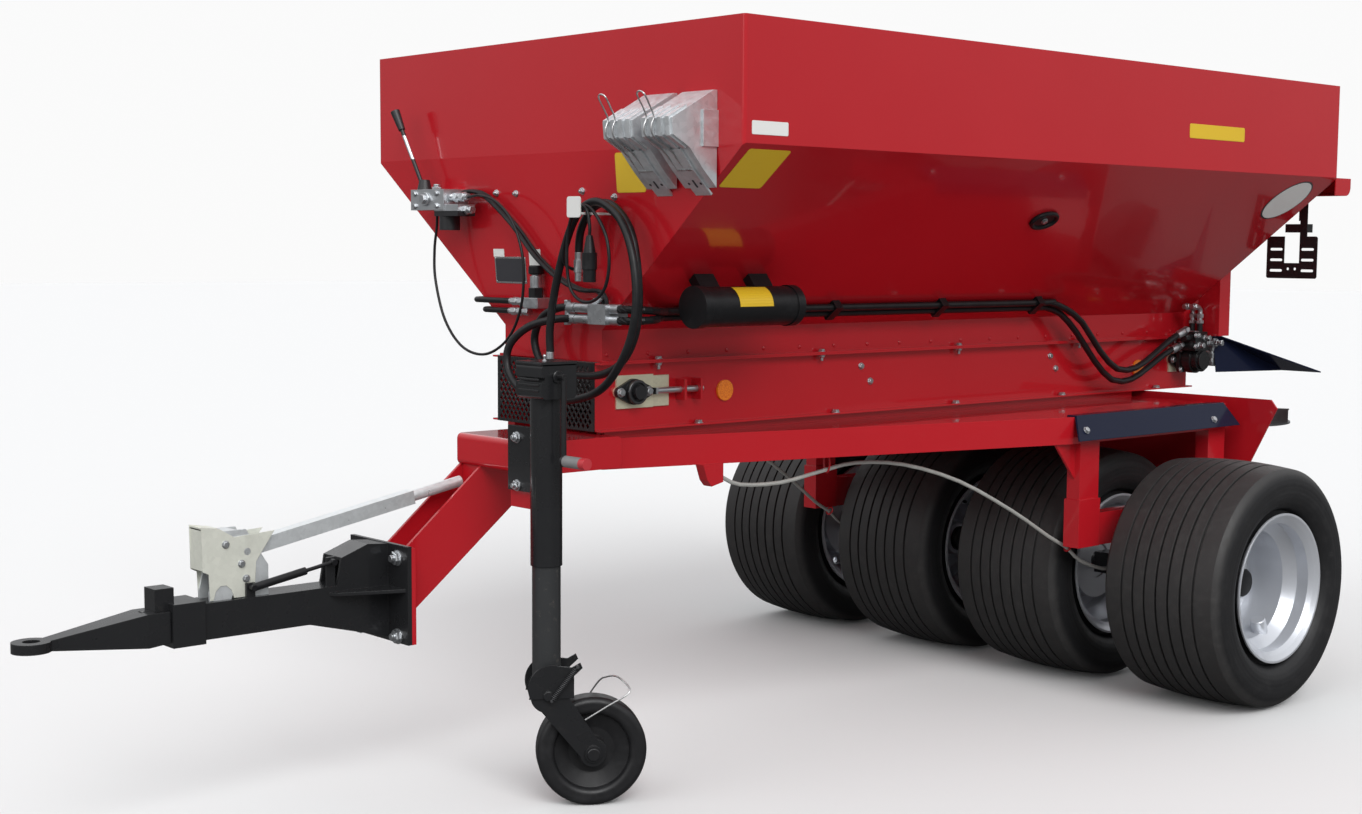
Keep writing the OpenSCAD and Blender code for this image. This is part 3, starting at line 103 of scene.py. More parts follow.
def make_camera():
    data = bpy.data.cameras.new("camera")
    camera = new_object("camera", data)
    view = CAMERA_VIEW.normalized()
    right = view.cross(Z).normalized()
    up = right.cross(view)
    right = right * math.cos(CAMERA_ROLL) + up * math.sin(CAMERA_ROLL)
    up = right.cross(view)
    pose = Matrix((right, up, -view)).transposed().to_4x4()
    pose.translation = CAMERA_AT
    camera.matrix_world = pose
    data.sensor_fit = "HORIZONTAL"
    data.sensor_width = SENSOR_WIDTH
    data.lens = FOCAL_PIXELS / IMAGE[0] * SENSOR_WIDTH
    data.shift_x = (IMAGE[0] / 2 - CENTRE_PIXELS[0]) / IMAGE[0]
    data.shift_y = (CENTRE_PIXELS[1] - IMAGE[1] / 2) / IMAGE[0]
    data.clip_end = 200
    bpy.context.scene.camera = camera


make_camera()


# Materials
class Look:
    """A node material with short ways to its usual nodes."""

    def __init__(self, name):
        self.material = bpy.data.materials.new(name)
        self.material.use_nodes = True
        self.tree = self.material.node_tree
        self.tree.nodes.clear()
        out = self.tree.nodes.new("ShaderNodeOutputMaterial")
        self.shader = self.tree.nodes.new("ShaderNodeBsdfPrincipled")
        self.tree.links.new(self.shader.outputs[0], out.inputs[0])
        self.place = self.tree.nodes.new("ShaderNodeTexCoord").outputs["Object"]

    def put(self, **values):
        """Set inputs of the shader to plain values."""
        for key, value in values.items():
            self.shader.inputs[key.replace("_", " ")].default_value = value
        return self

    def to(self, key, socket):
        """Feed one input of the shader from a socket."""
        self.tree.links.new(socket, self.shader.inputs[key])
        return self

    def new(self, kind, inputs=(), **settings):
        """A new node whose inputs get a link or a plain value."""
        node = self.tree.nodes.new("ShaderNode" + kind)
        for key, value in settings.items():
            setattr(node, key, value)
        for key, value in dict(inputs).items():
            if isinstance(value, bpy.types.NodeSocket):
                self.tree.links.new(value, node.inputs[key])
            else:
                node.inputs[key].default_value = value
        return node

    def noise(self, scale, detail, rough=0.5, at=None):
        inputs = {"Vector": at or self.place, "Scale": scale, "Detail": detail, "Roughness": rough}
        return self.new("TexNoise", inputs).outputs[0]

    def math(self, operation, a, b=0.0, clamp=False):
        return self.new("Math", {0: a, 1: b}, operation=operation, use_clamp=clamp).outputs[0]

    def times(self, a, b):
        return self.math("MULTIPLY", a, b)

    def span(self, value, low, high, to_low=0.0, to_high=1.0):
        """The value carried from one range to another."""
        return self.new("MapRange", {0: value, 1: low, 2: high, 3: to_low, 4: to_high}).outputs[0]

    def mix(self, share, a, b):
        """Colour a, and colour b where the share is one."""
        inputs = {0: share}
        for i, colour in ((6, a), (7, b)):
            inputs[i] = colour if isinstance(colour, bpy.types.NodeSocket) else (*colour, 1)
        return self.new("Mix", inputs, data_type="RGBA").outputs[2]

    def blend(self, share, a, b):
        """Number a, and number b where the share is one."""
        return self.new("Mix", {0: share, 2: a, 3: b}).outputs[0]

    def xyz(self):
        return self.new("SeparateXYZ", {0: self.place}).outputs

    def between(self, value, low, high):
        above = self.math("GREATER_THAN", value, low)
        return self.times(above, self.math("LESS_THAN", value, high))

    def bump(self, height, strength, distance, under):
        inputs = {"Height": height, "Strength": strength, "Distance": distance, "Normal": under}
        return self.new("Bump", inputs).outputs[0]

    def edge(self, radius):
        """Normals that are round along sharp edges."""
        return self.new("Bevel", {"Radius": radius}, samples=4).outputs[0]


def shaded(colour, factor):
    return tuple(c * factor for c in colour)


DUST = (0.26, 0.22, 0.18)


def paint(name, colour, rough, coat, wave, dust, fade, bevel=0.0025, patches=0.25):
    """Sprayed paint on sheet metal: slight sheet waves, orange peel and thin dust that grows downwards."""
    look = Look(name)
    pale = tuple(min(1, c * fade + 0.004) for c in colour)
    body = look.mix(look.noise(1.7, 2), shaded(colour, 0.93), pale)
    specks = look.span(look.noise(46, 6, 0.7), 0.58, 0.80, 0, dust)
    low_down = look.span(look.xyz()[2], 0.25, 1.2, 1.0, 0.35)
    look.to("Base Color", look.mix(look.times(specks, low_down), body, DUST))
    gloss, dull = rough * (1 - 0.8 * patches), rough * (1 + 1.2 * patches)
    look.to("Roughness", look.span(look.noise(9, 4, 0.6), 0.3, 0.75, gloss, dull))
    peel = look.bump(look.noise(420, 2), 0.06, 0.0006, look.edge(bevel))
    look.to("Normal", look.bump(look.noise(2.6, 1), wave, 0.01, peel))
    return look.put(Coat_Weight=coat, Coat_Roughness=0.035, Specular_IOR_Level=0.3)


def metal(name, colour, rough, grain=70, spangle=0.16, metallic=0.92):
    """Zinc-coated or bare steel with spangle, stains and a fine grain."""
    look = Look(name)
    cells = look.new("TexVoronoi", {"Vector": look.place, "Scale": grain}).outputs["Color"]
    grey = look.new("RGBToBW", {0: cells}).outputs[0]
    shade = look.mix(grey, shaded(colour, 1 - 2 * spangle), colour)
    stain = look.span(look.noise(14, 5, 0.6), 0.55, 0.8, 0, 0.35)
    look.to("Base Color", look.mix(stain, shade, shaded(colour, 0.55)))
    look.to("Roughness", look.span(look.noise(40, 4, 0.6), 0.3, 0.75, rough * 0.8, rough * 1.35))
    look.to("Normal", look.bump(look.noise(160, 4), 0.12, 0.0008, look.edge(0.0015)))
    return look.put(Metallic=metallic)


def rubber(name, colour, rough, ribs=0, bevel=0.001):
    """Rubber or plastic with a fine grain, worn a little grey."""
    look = Look(name)
    worn = look.span(look.noise(22, 5, 0.65), 0.5, 0.8, 0, 0.55)
    look.to("Base Color", look.mix(worn, colour, tuple(c * 1.8 + 0.008 for c in colour)))
    look.to("Roughness", look.span(look.noise(60, 3), 0.3, 0.7, rough * 0.85, min(1, rough * 1.2)))
    grain = look.bump(look.noise(500, 2), 0.15, 0.0006, look.edge(bevel))
    if ribs:
        inputs = {"Vector": look.place, "Scale": ribs, "Distortion": 1.2}
        grain = look.bump(look.new("TexWave", inputs).outputs[1], 0.2, 0.0006, grain)
    return look.to("Normal", grain).put(Specular_IOR_Level=0.3)


def zones(name, base, parts):
    """One material whose finish changes by place.

    A finish is (colour, metallic, roughness). Parts are (box, finish), with the box's low and high
    corners in millimetres.
    """
    look = Look(name)
    x, y, z = look.xyz()
    grain = look.span(look.noise(30, 5, 0.6), 0.4, 0.75, 0, 0.35)

    def grained(colour):
        return look.mix(grain, colour, shaded(colour, 0.7))

    colour, metallic, rough = base
    colour = grained(colour)
    for (low, high), (part_colour, part_metallic, part_rough) in parts:
        a, b = mm(*low), mm(*high)
        inside = look.times(look.between(x, a.x, b.x), look.between(y, a.y, b.y))
        inside = look.times(inside, look.between(z, a.z, b.z))
        colour = look.mix(inside, colour, grained(part_colour))
        metallic = look.blend(inside, metallic, part_metallic)
        rough = look.blend(inside, rough, part_rough)
    look.to("Base Color", colour).to("Metallic", metallic).to("Roughness", rough)
    return look.to("Normal", look.bump(look.noise(220, 3), 0.1, 0.0007, look.edge(0.0015)))


def make_amber():
    """Reflector plastic with small prisms and a faint painted glow."""
    look = Look("reflector_amber")
    prism = look.new("TexVoronoi", {"Vector": look.place, "Scale": 260.0}).outputs["Distance"]
    look.to("Base Color", look.mix(look.span(prism, 0.1, 0.7), (0.85, 0.26, 0.01), (0.60, 0.13, 0.005)))
    look.to("Normal", look.bump(prism, 0.35, 0.0015, look.edge(0.002)))
    # painted glow: the reflector gives off a little light of its own, though it is no lamp
    look.put(Emission_Color=(0.8, 0.2, 0.01, 1), Emission_Strength=0.10)
    return look.put(Roughness=0.16, Coat_Weight=0.8)


def make_tyre(centre_y):
    """Tread paler than the sidewalls, fine rings on the sidewalls and light dust in streaks."""
    look = Look(f"tyre_{centre_y}")
    x, y, z = look.xyz()
    dx = look.math("SUBTRACT", x, AXLE_X)
    dy = look.math("SUBTRACT", y, centre_y / 1000)
    dz = look.math("SUBTRACT", z, WHEEL_R / 1000)
    radius = look.math("SQRT", look.math("ADD", look.times(dx, dx), look.times(dz, dz)))
    turn = look.math("ARCTAN2", dz, dx)
    tread = look.span(radius, 0.352, 0.368)
    side = look.math("SUBTRACT", 1.0, tread, True)
    dust = look.span(look.noise(34, 7, 0.7), 0.48, 0.78)
    around = look.new("CombineXYZ", {0: look.times(dy, 30.0), 1: turn, 2: radius}).outputs[0]
    streak = look.noise(9, 4, 0.6, around)
    strength = look.math("ADD", look.times(tread, 0.6), 0.25)
    film = look.times(strength, look.times(dust, streak))
    plain = look.mix(tread, (0.014, 0.014, 0.015), (0.034, 0.033, 0.033))
    look.to("Base Color", look.mix(film, plain, (0.065, 0.062, 0.060)))
    look.to("Roughness", look.span(dust, 0, 1, 0.46, 0.72))
    ring = look.math("SINE", look.times(radius, 420.0))
    rings = look.bump(look.times(ring, look.times(side, 0.3)), 0.3, 0.0012, look.edge(0.003))
    look.to("Normal", look.bump(look.noise(300, 3), 0.2, 0.001, rings))
    return look.put(Specular_IOR_Level=0.3)


RED = (0.46, 0.008, 0.015)
BLACK = (0.0095, 0.0098, 0.0108)
NAVY = (0.006, 0.009, 0.026)
ZINC = (0.62, 0.64, 0.66)
CREAM = (0.74, 0.70, 0.52)
RUBBER = (0.008, 0.008, 0.009)

red = paint("red_gloss", RED, rough=0.17, coat=0.6, wave=0.05, dust=0.05, fade=1.06)
black = paint("black_satin", BLACK, rough=0.28, coat=0.3, wave=0.06, dust=0.05, fade=1.5)
navy = paint("navy_gloss", NAVY, rough=0.14, coat=0.1, wave=0.03, dust=0.03, fade=1.3)
navy.put(Specular_IOR_Level=0.08)
worn_black = paint("black_worn", (0.020, 0.021, 0.022), rough=0.36, coat=0.15, wave=0.06, dust=0.45, fade=1.8)
white = paint("white_satin", (0.72, 0.72, 0.70), rough=0.4, coat=0.2, wave=0.05, dust=0.05, fade=1.03)
silver = paint("rim_silver_paint", (0.60, 0.62, 0.66), rough=0.30, coat=0.4, wave=0.02, dust=0.03, fade=1.03,
               bevel=0.003, patches=0.06)
silver.put(Metallic=0.45)
yellow = paint("sticker_yellow", (0.72, 0.47, 0.02), rough=0.4, coat=0.25, wave=0.02, dust=0.05, fade=1.05)
sticker_white = paint("sticker_white", (0.78, 0.78, 0.76), rough=0.4, coat=0.25, wave=0.02, dust=0.05,
                      fade=1.02)
# dark plate paint for the sign's rim and the type plate's field; on the chock holders the same material is
# painted shade in slots and holes
dark_plate_and_slot_shade = paint("dark_plate_and_slot_shade", (0.03, 0.03, 0.035), rough=0.35, coat=0.2, wave=0.02, dust=0.05, fade=1.4)
zinc = metal("zinc_bright", ZINC, rough=0.32)
galvanised = metal("galvanised", (0.76, 0.79, 0.81), rough=0.38, grain=60, spangle=0.09, metallic=0.75)
pale_galvanised = metal("galvanised_pale", (0.80, 0.83, 0.84), rough=0.34, grain=110, spangle=0.06,
                        metallic=0.6)
dark_steel = metal("dark_steel", (0.10, 0.10, 0.105), rough=0.42, grain=60, spangle=0.12, metallic=0.8)
steel = metal("turned_steel", (0.58, 0.58, 0.58), rough=0.28, grain=200, spangle=0.06)
cream = metal("passivated_yellow", CREAM, rough=0.42, grain=120, spangle=0.06, metallic=0.5)
pale_zinc = metal("passivated_pale", (0.80, 0.81, 0.72), rough=0.38, grain=90, spangle=0.04, metallic=0.35)
hose_black = rubber("hose_black", RUBBER, rough=0.38, ribs=60)
plastic = rubber("plastic_black", RUBBER, rough=0.34)
belt_black = rubber("belt_black", (0.020, 0.019, 0.018), rough=0.6, ribs=30)
cable_grey = rubber("cable_grey", (0.34, 0.34, 0.32), rough=0.38, ribs=90)
jack_wheel_black = rubber("jack_wheel_black", (0.014, 0.014, 0.015), rough=0.36, bevel=0.004)
amber = make_amber()

# Pieces of several finishes: zinc or dark ends beyond a place on both sides, and boxes of their own
FAR = 4000
ZINC_FINISH = (ZINC, 0.9, 0.32)
CREAM_FINISH = (CREAM, 0.5, 0.42)
BLACK_FINISH = ((0.013, 0.013, 0.015), 0.0, 0.42)
CRANK_BLACK_FINISH = ((0.010, 0.010, 0.011), 0.0, 0.36)
GRIP_GREY_FINISH = ((0.20, 0.20, 0.20), 0.0, 0.5)
GRIP_RED_FINISH = ((0.48, 0.03, 0.04), 0.0, 0.42)
BEARING_PLATE_FACE = 229.5
ROLLER_END = 238


def beyond(y, finish, x_low=-FAR, x_high=FAR):
    """Two parts for zones: all that lies further out than y on either side, between two places along x."""
    return [(((x_low, y, 0), (x_high, FAR, FAR)), finish),
            (((x_low, -FAR, 0), (x_high, -y, FAR)), finish)]


bearing_finish = zones(
    "bearing_finish", CREAM_FINISH,
    beyond(BEARING_PLATE_FACE, ZINC_FINISH)
    + beyond(BEARING_PLATE_FACE, BLACK_FINISH, x_low=1870)
    + beyond(BEARING_PLATE_FACE, BLACK_FINISH, x_high=-600))
roller_finish = zones("roller_finish", ZINC_FINISH, beyond(ROLLER_END, BLACK_FINISH))
valve_finish = zones("valve_finish", ZINC_FINISH, [
    (((0, -600, 1608), (FAR, -400, 1700)), BLACK_FINISH),
    (((0, -700, 1770), (FAR, -400, FAR)), BLACK_FINISH),
    (((0, -420, 0), (FAR, -280, 1545)), BLACK_FINISH),
    (((0, -FAR, 0), (FAR, -340, 1529)), BLACK_FINISH)])
crank_finish = zones("crank_finish", CRANK_BLACK_FINISH, [
    (((0, 475, 0), (FAR, 540, FAR)), GRIP_GREY_FINISH),
    (((0, 540, 0), (FAR, FAR, FAR)), GRIP_RED_FINISH)])

LOOKS = (
    (red, "hopper rear_rail trough chassis gooseneck wheel_frames splash_plate"),
    (red, "gate gate_columns spinner_frame"),
    (black, "mesh_guard axles overrun tow_eye jack_outer jack_foot"),
    (black, "spinner_motors conveyor_motor plate_holder"),
    (worn_black, "jack_inner"),
    (navy, "guard_strips spinner_hood"),
    (zinc, "hose_couplings front_block"),
    (dark_steel, "disc_left disc_right"),
    (galvanised, "chocks chock_holders"),
    (pale_galvanised, "handbrake"),
    (silver, "rim_1 rim_2 rim_3 rim_4"),
    (hose_black, "side_hoses valve_hoses hose_a hose_b lamp_cable valve_cable"),
    (belt_black, "belt"),
    (plastic, "document_tube lamp_plug gas_strut hose_clamps"),
    (cable_grey, "brake_cables"),
    (white, "hose_hook"),
    (amber, "reflectors"),
    (jack_wheel_black, "jack_wheel"),
    (bearing_finish, "bearing_plates"),
    (roller_finish, "rollers"),
    (valve_finish, "hand_valve"),
    (crank_finish, "jack_crank"),
)


def dress(node, look):
    nodes[node].material_slots[0].material = look.material


for look, names in LOOKS:
    for name in names.split():
        dress(name, look)
for i, wheel_y in enumerate(WHEEL_Y, 1):
    dress(f"tyre_{i}", make_tyre(wheel_y))


# Free hoses and cables, along the routes of the CAD model
ROUTES = {
    "hose_a": [
        (2085, 170, 1250), (2112, 100, 1246), (2145, 25, 1222), (2170, -25, 1170), (2178, -20, 1105),
        (2180, 45, 1052), (2178, 150, 1036), (2172, 270, 1040), (2160, 380, 1080), (2150, 460, 1178),
        (2142, 488, 1290), (2138, 472, 1412), (2135, 425, 1505), (2135, 362, 1551), (2135, 300, 1563),
        (2135, 240, 1535), (2137, 192, 1462), (2142, 150, 1340), (2146, 130, 1230), (2146, 130, 1160),
    ],
    "hose_b": [
        (2085, 170, 1280), (2090, 95, 1277), (2095, 25, 1248), (2098, -5, 1190), (2100, 25, 1130),
        (2100, 100, 1100), (2100, 200, 1098), (2100, 300, 1106), (2100, 380, 1142), (2100, 432, 1210),
        (2100, 450, 1300), (2100, 440, 1412), (2100, 412, 1492), (2100, 356, 1546), (2100, 300, 1561),
        (2100, 246, 1540), (2101, 208, 1490), (2102, 200, 1430),
    ],
    "lamp_cable": [
        (2076, 180, 1385), (2112, 181, 1386), (2146, 190, 1406), (2160, 215, 1460), (2164, 252, 1522),
        (2165, 300, 1553), (2165, 350, 1530), (2167, 398, 1470), (2169, 412, 1400), (2170, 395, 1338),
        (2170, 350, 1305), (2170, 295, 1303), (2171, 252, 1335), (2172, 238, 1400), (2174, 245, 1475),
        (2176, 267, 1532), (2177, 300, 1553), (2178, 331, 1538), (2178, 342, 1500), (2178, 342, 1475),
    ],
    "valve_cable": [
        (2121, -290, 1585), (2123, -230, 1588), (2128, -150, 1572), (2132, -70, 1522), (2134, -22, 1450),
        (2134, -6, 1370), (2134, -22, 1270), (2134, -83, 1185), (2134, -190, 1138), (2134, -304, 1154),
        (2132, -396, 1229), (2128, -450, 1344), (2124, -460, 1432), (2121, -452, 1500), (2121, -450, 1546),
    ],
}
CORDS = (("hose_a", 0.011, "connector", "stiff", ["hose_couplings"]),
         ("hose_b", 0.011, "connector", "stiff", ["hose_couplings"]),
         ("lamp_cable", 0.0045, "plug", "medium", ["lamp_plug"]),
         ("valve_cable", 0.004, "object", "medium", []))
END_PULL = 1.6


def nearest_axis(v):
    longest = max(range(3), key=lambda i: abs(v[i]))
    return Vector([math.copysign(1, v[i]) if i == longest else 0 for i in range(3)])


def curve_handles(points):
    """Handles of a smooth curve through points that leaves its ends along the nearest axis."""
    last = len(points) - 1
    handles = [(points[min(i + 1, last)] - points[max(i - 1, 0)]) / 6 for i in range(last + 1)]
    for i in (0, last):
        handles[i] = nearest_axis(handles[i]) * handles[i].length * END_PULL
    return handles


def make_line(name, points, handles, radius):
    """A round hose along the smooth curve."""
    data = bpy.data.curves.new(name, "CURVE")
    data.dimensions = "3D"
    data.resolution_u = 8
    data.bevel_depth = radius
    data.bevel_resolution = 3
    data.use_fill_caps = True
    spline = data.splines.new("BEZIER")
    spline.bezier_points.add(len(points) - 1)
    for knot, p, handle in zip(spline.bezier_points, points, handles):
        knot.handle_left_type = knot.handle_right_type = "FREE"
        knot.co = p
        knot.handle_left = p - handle
        knot.handle_right = p + handle
    data.materials.append(hose_black.material)
    line = new_object(name, data)
    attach(line, "frame")
    return line


for name, radius, end, stiff, held in CORDS:
    route = [mm(*p) for p in ROUTES[name]]
    handles = curve_handles(route)
    line = make_line(name + "_line", route, handles, radius)
    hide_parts(name)


# Mesh building
class Build:
    """Collects small solids into one mesh. Places and sizes are in metres in the row frame."""

    def __init__(self):
        self.corners, self.faces = [], []

    def add(self, corners, faces):
        start = len(self.corners)
        self.corners += [tuple(p) for p in corners]
        self.faces += [tuple(start + i for i in face) for face in faces]
        return self

    def sweep(self, rings, closed=False):
        """Skin over rings of equally many corners, with flat ends unless it closes on itself."""
        count, sides = len(rings), len(rings[0])
        faces = []
        for i in range(count if closed else count - 1):
            j = (i + 1) % count
            for k in range(sides):
                m = (k + 1) % sides
                faces.append((i * sides + k, i * sides + m, j * sides + m, j * sides + k))
        if not closed:
            faces.append(tuple(reversed(range(sides))))
            faces.append(tuple((count - 1) * sides + k for k in range(sides)))
        return self.add([p for ring in rings for p in ring], faces)

    def lathe(self, at, way, profile, sides):
        """Turned solid: profile is (distance along way, radius)."""
        way = Vector(way).normalized()
        u = way.orthogonal().normalized()
        w = way.cross(u)
        round_way = [u * math.cos(a) + w * math.sin(a) for a in angles(sides)]
        return self.sweep([[Vector(at) + way * d + side * r for side in round_way] for d, r in profile])

    def cyl(self, at, way, r, h, sides=20, edge=0.0):
        """Cylinder or, with few sides, prism, with its two edges cut back by edge."""
        e = min(edge, r * 0.4, h * 0.4)
        profile = [(0, r - e), (e, r), (h - e, r), (h, r - e)] if e else [(0, r), (h, r)]
        return self.lathe(at, way, profile, sides)

    def bolt(self, at, way, size):
        """Hexagon head of a bolt of that thread size, on its washer."""
        washer, top = size * 0.16, size * 0.62
        self.cyl(at, way, size * 1.1, washer)
        base = Vector(at) + Vector(way).normalized() * washer
        return self.lathe(base, way, [(0, size * 0.95), (top * 0.8, size * 0.95), (top, size * 0.8)], 6)

    def stud(self, at, way, size, reach=0.012):
        """Nut with the end of its bolt standing out."""
        self.bolt(at, way, size)
        base = Vector(at) + Vector(way).normalized() * size * 0.7
        return self.cyl(base, way, size * 0.48, reach, 14, 0.001)

    def block(self, a, b, bevel=0.0):
        """Box between two opposite corners."""
        low = [min(x, y) for x, y in zip(a, b)]
        high = [max(x, y) for x, y in zip(a, b)]
        bm = bmesh.new()
        bmesh.ops.create_cube(bm, size=1)
        for v in bm.verts:
            v.co = Vector([(low[i] + high[i]) / 2 + v.co[i] * (high[i] - low[i]) for i in range(3)])
        if bevel:
            bmesh.ops.bevel(bm, geom=bm.edges[:], offset=bevel, segments=2, affect="EDGES")
        bm.verts.index_update()
        self.add([v.co for v in bm.verts], [[v.index for v in f.verts] for f in bm.faces])
        bm.free()
        return self

    def tube(self, points, r, sides=10, closed=False):
        """Round bar along points."""
        points = [Vector(p) for p in points]
        count = len(points)
        rings = []
        u = None
        for i, p in enumerate(points):
            before = points[(i - 1) % count] if closed or i else p
            after = points[(i + 1) % count] if closed or i < count - 1 else p
            way = (after - before).normalized()
            u = way.orthogonal().normalized() if u is None else (u - way * u.dot(way)).normalized()
            w = way.cross(u)
            rings.append([p + (u * math.cos(a) + w * math.sin(a)) * r for a in angles(sides)])
        return self.sweep(rings, closed)

    def slab(self, outline, normal, thick):
        """Flat piece: outline points and a thickness along normal."""
        step = Vector(normal).normalized() * thick
        base = [Vector(p) for p in outline]
        return self.sweep([base, [p + step for p in base]])

    def done(self, name, look, body="frame", slot=None, angle=35):
        """Make the piece; edges that turn by more than angle stay sharp."""
        mesh = bpy.data.meshes.new(name)
        mesh.from_pydata(self.corners, [], self.faces)
        bm = bmesh.new()
        bm.from_mesh(mesh)
        bmesh.ops.recalc_face_normals(bm, faces=bm.faces[:])
        for edge in bm.edges:
            edge.smooth = len(edge.link_faces) == 2 and edge.calc_face_angle() < math.radians(angle)
        for face in bm.faces:
            face.smooth = True
        bm.to_mesh(mesh)
        bm.free()
        mesh.materials.append(look.material)
        piece = new_object(name, mesh)
        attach(piece, body)


def smooth_path(points, steps):
    """Points of a smooth curve through the given ones."""
    points = [Vector(p) for p in points]
    last = len(points) - 1
    path = []
    for i in range(last):
        a, b, c, d = (points[min(max(i + k, 0), last)] for k in (-1, 0, 1, 2))
        for s in range(steps):
            t = s / steps
            path.append(0.5 * (2 * b + (c - a) * t + (2 * a - 5 * b + 4 * c - d) * t * t
                               + (3 * b - a - 3 * c + d) * t ** 3))
    return path + [points[-1]]


def round_outline(centre, u, v, width, height, radius):
    """Corners of a rectangle with round corners, in the plane of u and v."""
    steps = 5
    outline = []
    for side, end, start in ((1, 1, 0), (-1, 1, 90), (-1, -1, 180), (1, -1, 270)):
        for i in range(steps + 1):
            a = math.radians(start + 90 * i / steps)
            along_u = side * (width / 2 - radius) + radius * math.cos(a)
            along_v = end * (height / 2 - radius) + radius * math.sin(a)
            outline.append(centre + u * along_u + v * along_v)
    return outline


# Bolts of the trough, its bearings, the drawbar and the front wall, and dome heads along the trough
M8, M10, M12 = 0.008, 0.010, 0.012


def make_bolts():
    bolts, domes = Build(), Build()
    flange_y, flange_top, flange_under, foot_top = 239, 1136, 1126, 948
    bearing_y, bearing_half = 241, 50
    dome_z, dome_pitch = 1152, 148
    dome = [(0, 0.0065), (0.0015, 0.006), (0.0035, 0.003), (0.004, 0.0)]
    for s in SIDES:
        for x in (1851, 1204, 571, -70, -650):
            bolts.bolt(mm(x, s * flange_y, flange_top), Z, M10)
            bolts.stud(mm(x, s * flange_y, flange_under), -Z, M10)
        for x in range(-640, 2040, dome_pitch):
            domes.lathe(mm(x, s * TROUGH_HALF, dome_z), s * Y, dome, 14)
        for x in (1700, 1140, 580, 20, -540):
            bolts.bolt(mm(x, s * flange_y, foot_top), Z, M12)
        for x, z in ((1015, 1084), (973, 1036), (72, 1084), (40, 1040)):
            bolts.bolt(mm(x, s * TROUGH_HALF, z), s * Y, M10)
        for roller_x in (ROLLER_FRONT_X, ROLLER_REAR_X):
            for dx in (-bearing_half, bearing_half):
                bolts.bolt(mm(roller_x + dx, s * bearing_y, ROLLER_Z), s * Y, M12)
    drawbar_front, drawbar_back, drawbar_bolt = 2612, 2588, 0.019
    for y in (-91, 91):
        for z in (432, 638):
            bolts.stud(mm(drawbar_front, y, z), X, drawbar_bolt, 0.010)
            bolts.bolt(mm(drawbar_back, y, z), -X, drawbar_bolt)
    for y, z in ((-125, 1593), (177, 1595), (-218, 1596), (314, 1577)):
        bolts.stud(front_point(y, z), OFF_FRONT, 0.009, 0.006)
    bolts.done("bolts_frame", zinc, slot="zinc", angle=30)
    domes.done("dome_heads", red, slot="red_paint")


make_bolts()


# Wheel nuts, hub ends with dark caps, valve guards and valve stems, each on its wheel's body
def make_wheel_trim(i, y):
    body = f"wheel_{i}"
    out = 1 if i % 2 == 0 else -1
    way = Y * out
    nut_circle, nut_count, first_nut = 102.5, 6, 0.26
    nuts = Build()
    for turn in angles(nut_count):
        a = turn + first_nut
        at = mm(nut_circle * math.cos(a), y - out * 54, WHEEL_R + nut_circle * math.sin(a))
        nuts.stud(at, way, 0.018, 0.014)
    nuts.done(f"wheel_nuts_{i}", zinc, body, "zinc", 30)
    hub = Build()
    hub_profile = [(0, 0.062), (0.048, 0.060), (0.062, 0.056), (0.066, 0.048)]
    hub.lathe(mm(0, y - out * 11, WHEEL_R), way, hub_profile, 40)
    guard_at, guard_way = mm(-80, y + out * 88, WHEEL_R - 184), Vector((0.4, 0, 1))
    hub.cyl(guard_at, guard_way, 0.025, 0.066, 28, 0.003)
    hub.done(f"hub_{i}", silver, body, "rim_silver")
    cap = Build()
    cap_profile = [(0, 0.045), (0.014, 0.045), (0.020, 0.040), (0.022, 0.02), (0.022, 0.0)]
    cap.lathe(mm(0, y + out * 54, WHEEL_R), way, cap_profile, 36)
    cap.done(f"hub_cap_{i}", plastic, body, "black_rubber")
    stem = Build()
    stem_circle, stem_turn = 178, 1.9
    foot = mm(stem_circle * math.cos(stem_turn), y - out * 20, WHEEL_R + stem_circle * math.sin(stem_turn))
    inward = Vector((-math.cos(stem_turn), 0, -math.sin(stem_turn)))
    bend = [(0, 0), (0.02, 0), (0.035, 0.02), (0.04, 0.06)]
    stem.tube(smooth_path([foot + inward * d + way * h for d, h in bend], 5), 0.0045)
    stem.cyl(foot + inward * 0.04 + way * 0.056, way + inward * 0.1, 0.006, 0.014, 12, 0.001)
    stem.done(f"valve_stem_{i}", plastic, body, "black_rubber")


for i, wheel_y in enumerate(WHEEL_Y, 1):
    make_wheel_trim(i, wheel_y)


# Round sign, stickers and type plate, all blank, and the slope's grommet
STICKER = 0.0008


def make_round_sign():
    centre = slope_point(-565, 1622)
    rim, face = Build(), Build()
    rim.cyl(centre, OFF_SLOPE, 0.100, STICKER, 64)
    rim.done("sign_rim", dark_plate_and_slot_shade)
    face.cyl(centre + OFF_SLOPE * STICKER, OFF_SLOPE, 0.094, STICKER, 64)
    face.done("sign_face", sticker_white, slot="white_paint")


def add_tube_sticker(build):
    """Curved sticker on the document tube, in narrow flat strips."""
    radius, half, strip = 0.0545, X * 0.062, 8
    axis = slope_point(1745, SLOPE_FOOT_Z + 235 * math.sin(SLOPE)) + OFF_SLOPE * 0.101
    middle = (Y * 0.80 + Z * 0.60).normalized()
    rise = middle.cross(X)

    def out(degrees):
        a = math.radians(degrees)
        return middle * math.cos(a) + rise * math.sin(a)

    for start in range(-36, 36, strip):
        low, high = axis + out(start) * radius, axis + out(start + strip) * radius
        build.slab([low - half, low + half, high + half, high - half], out(start + strip / 2), 0.0006)


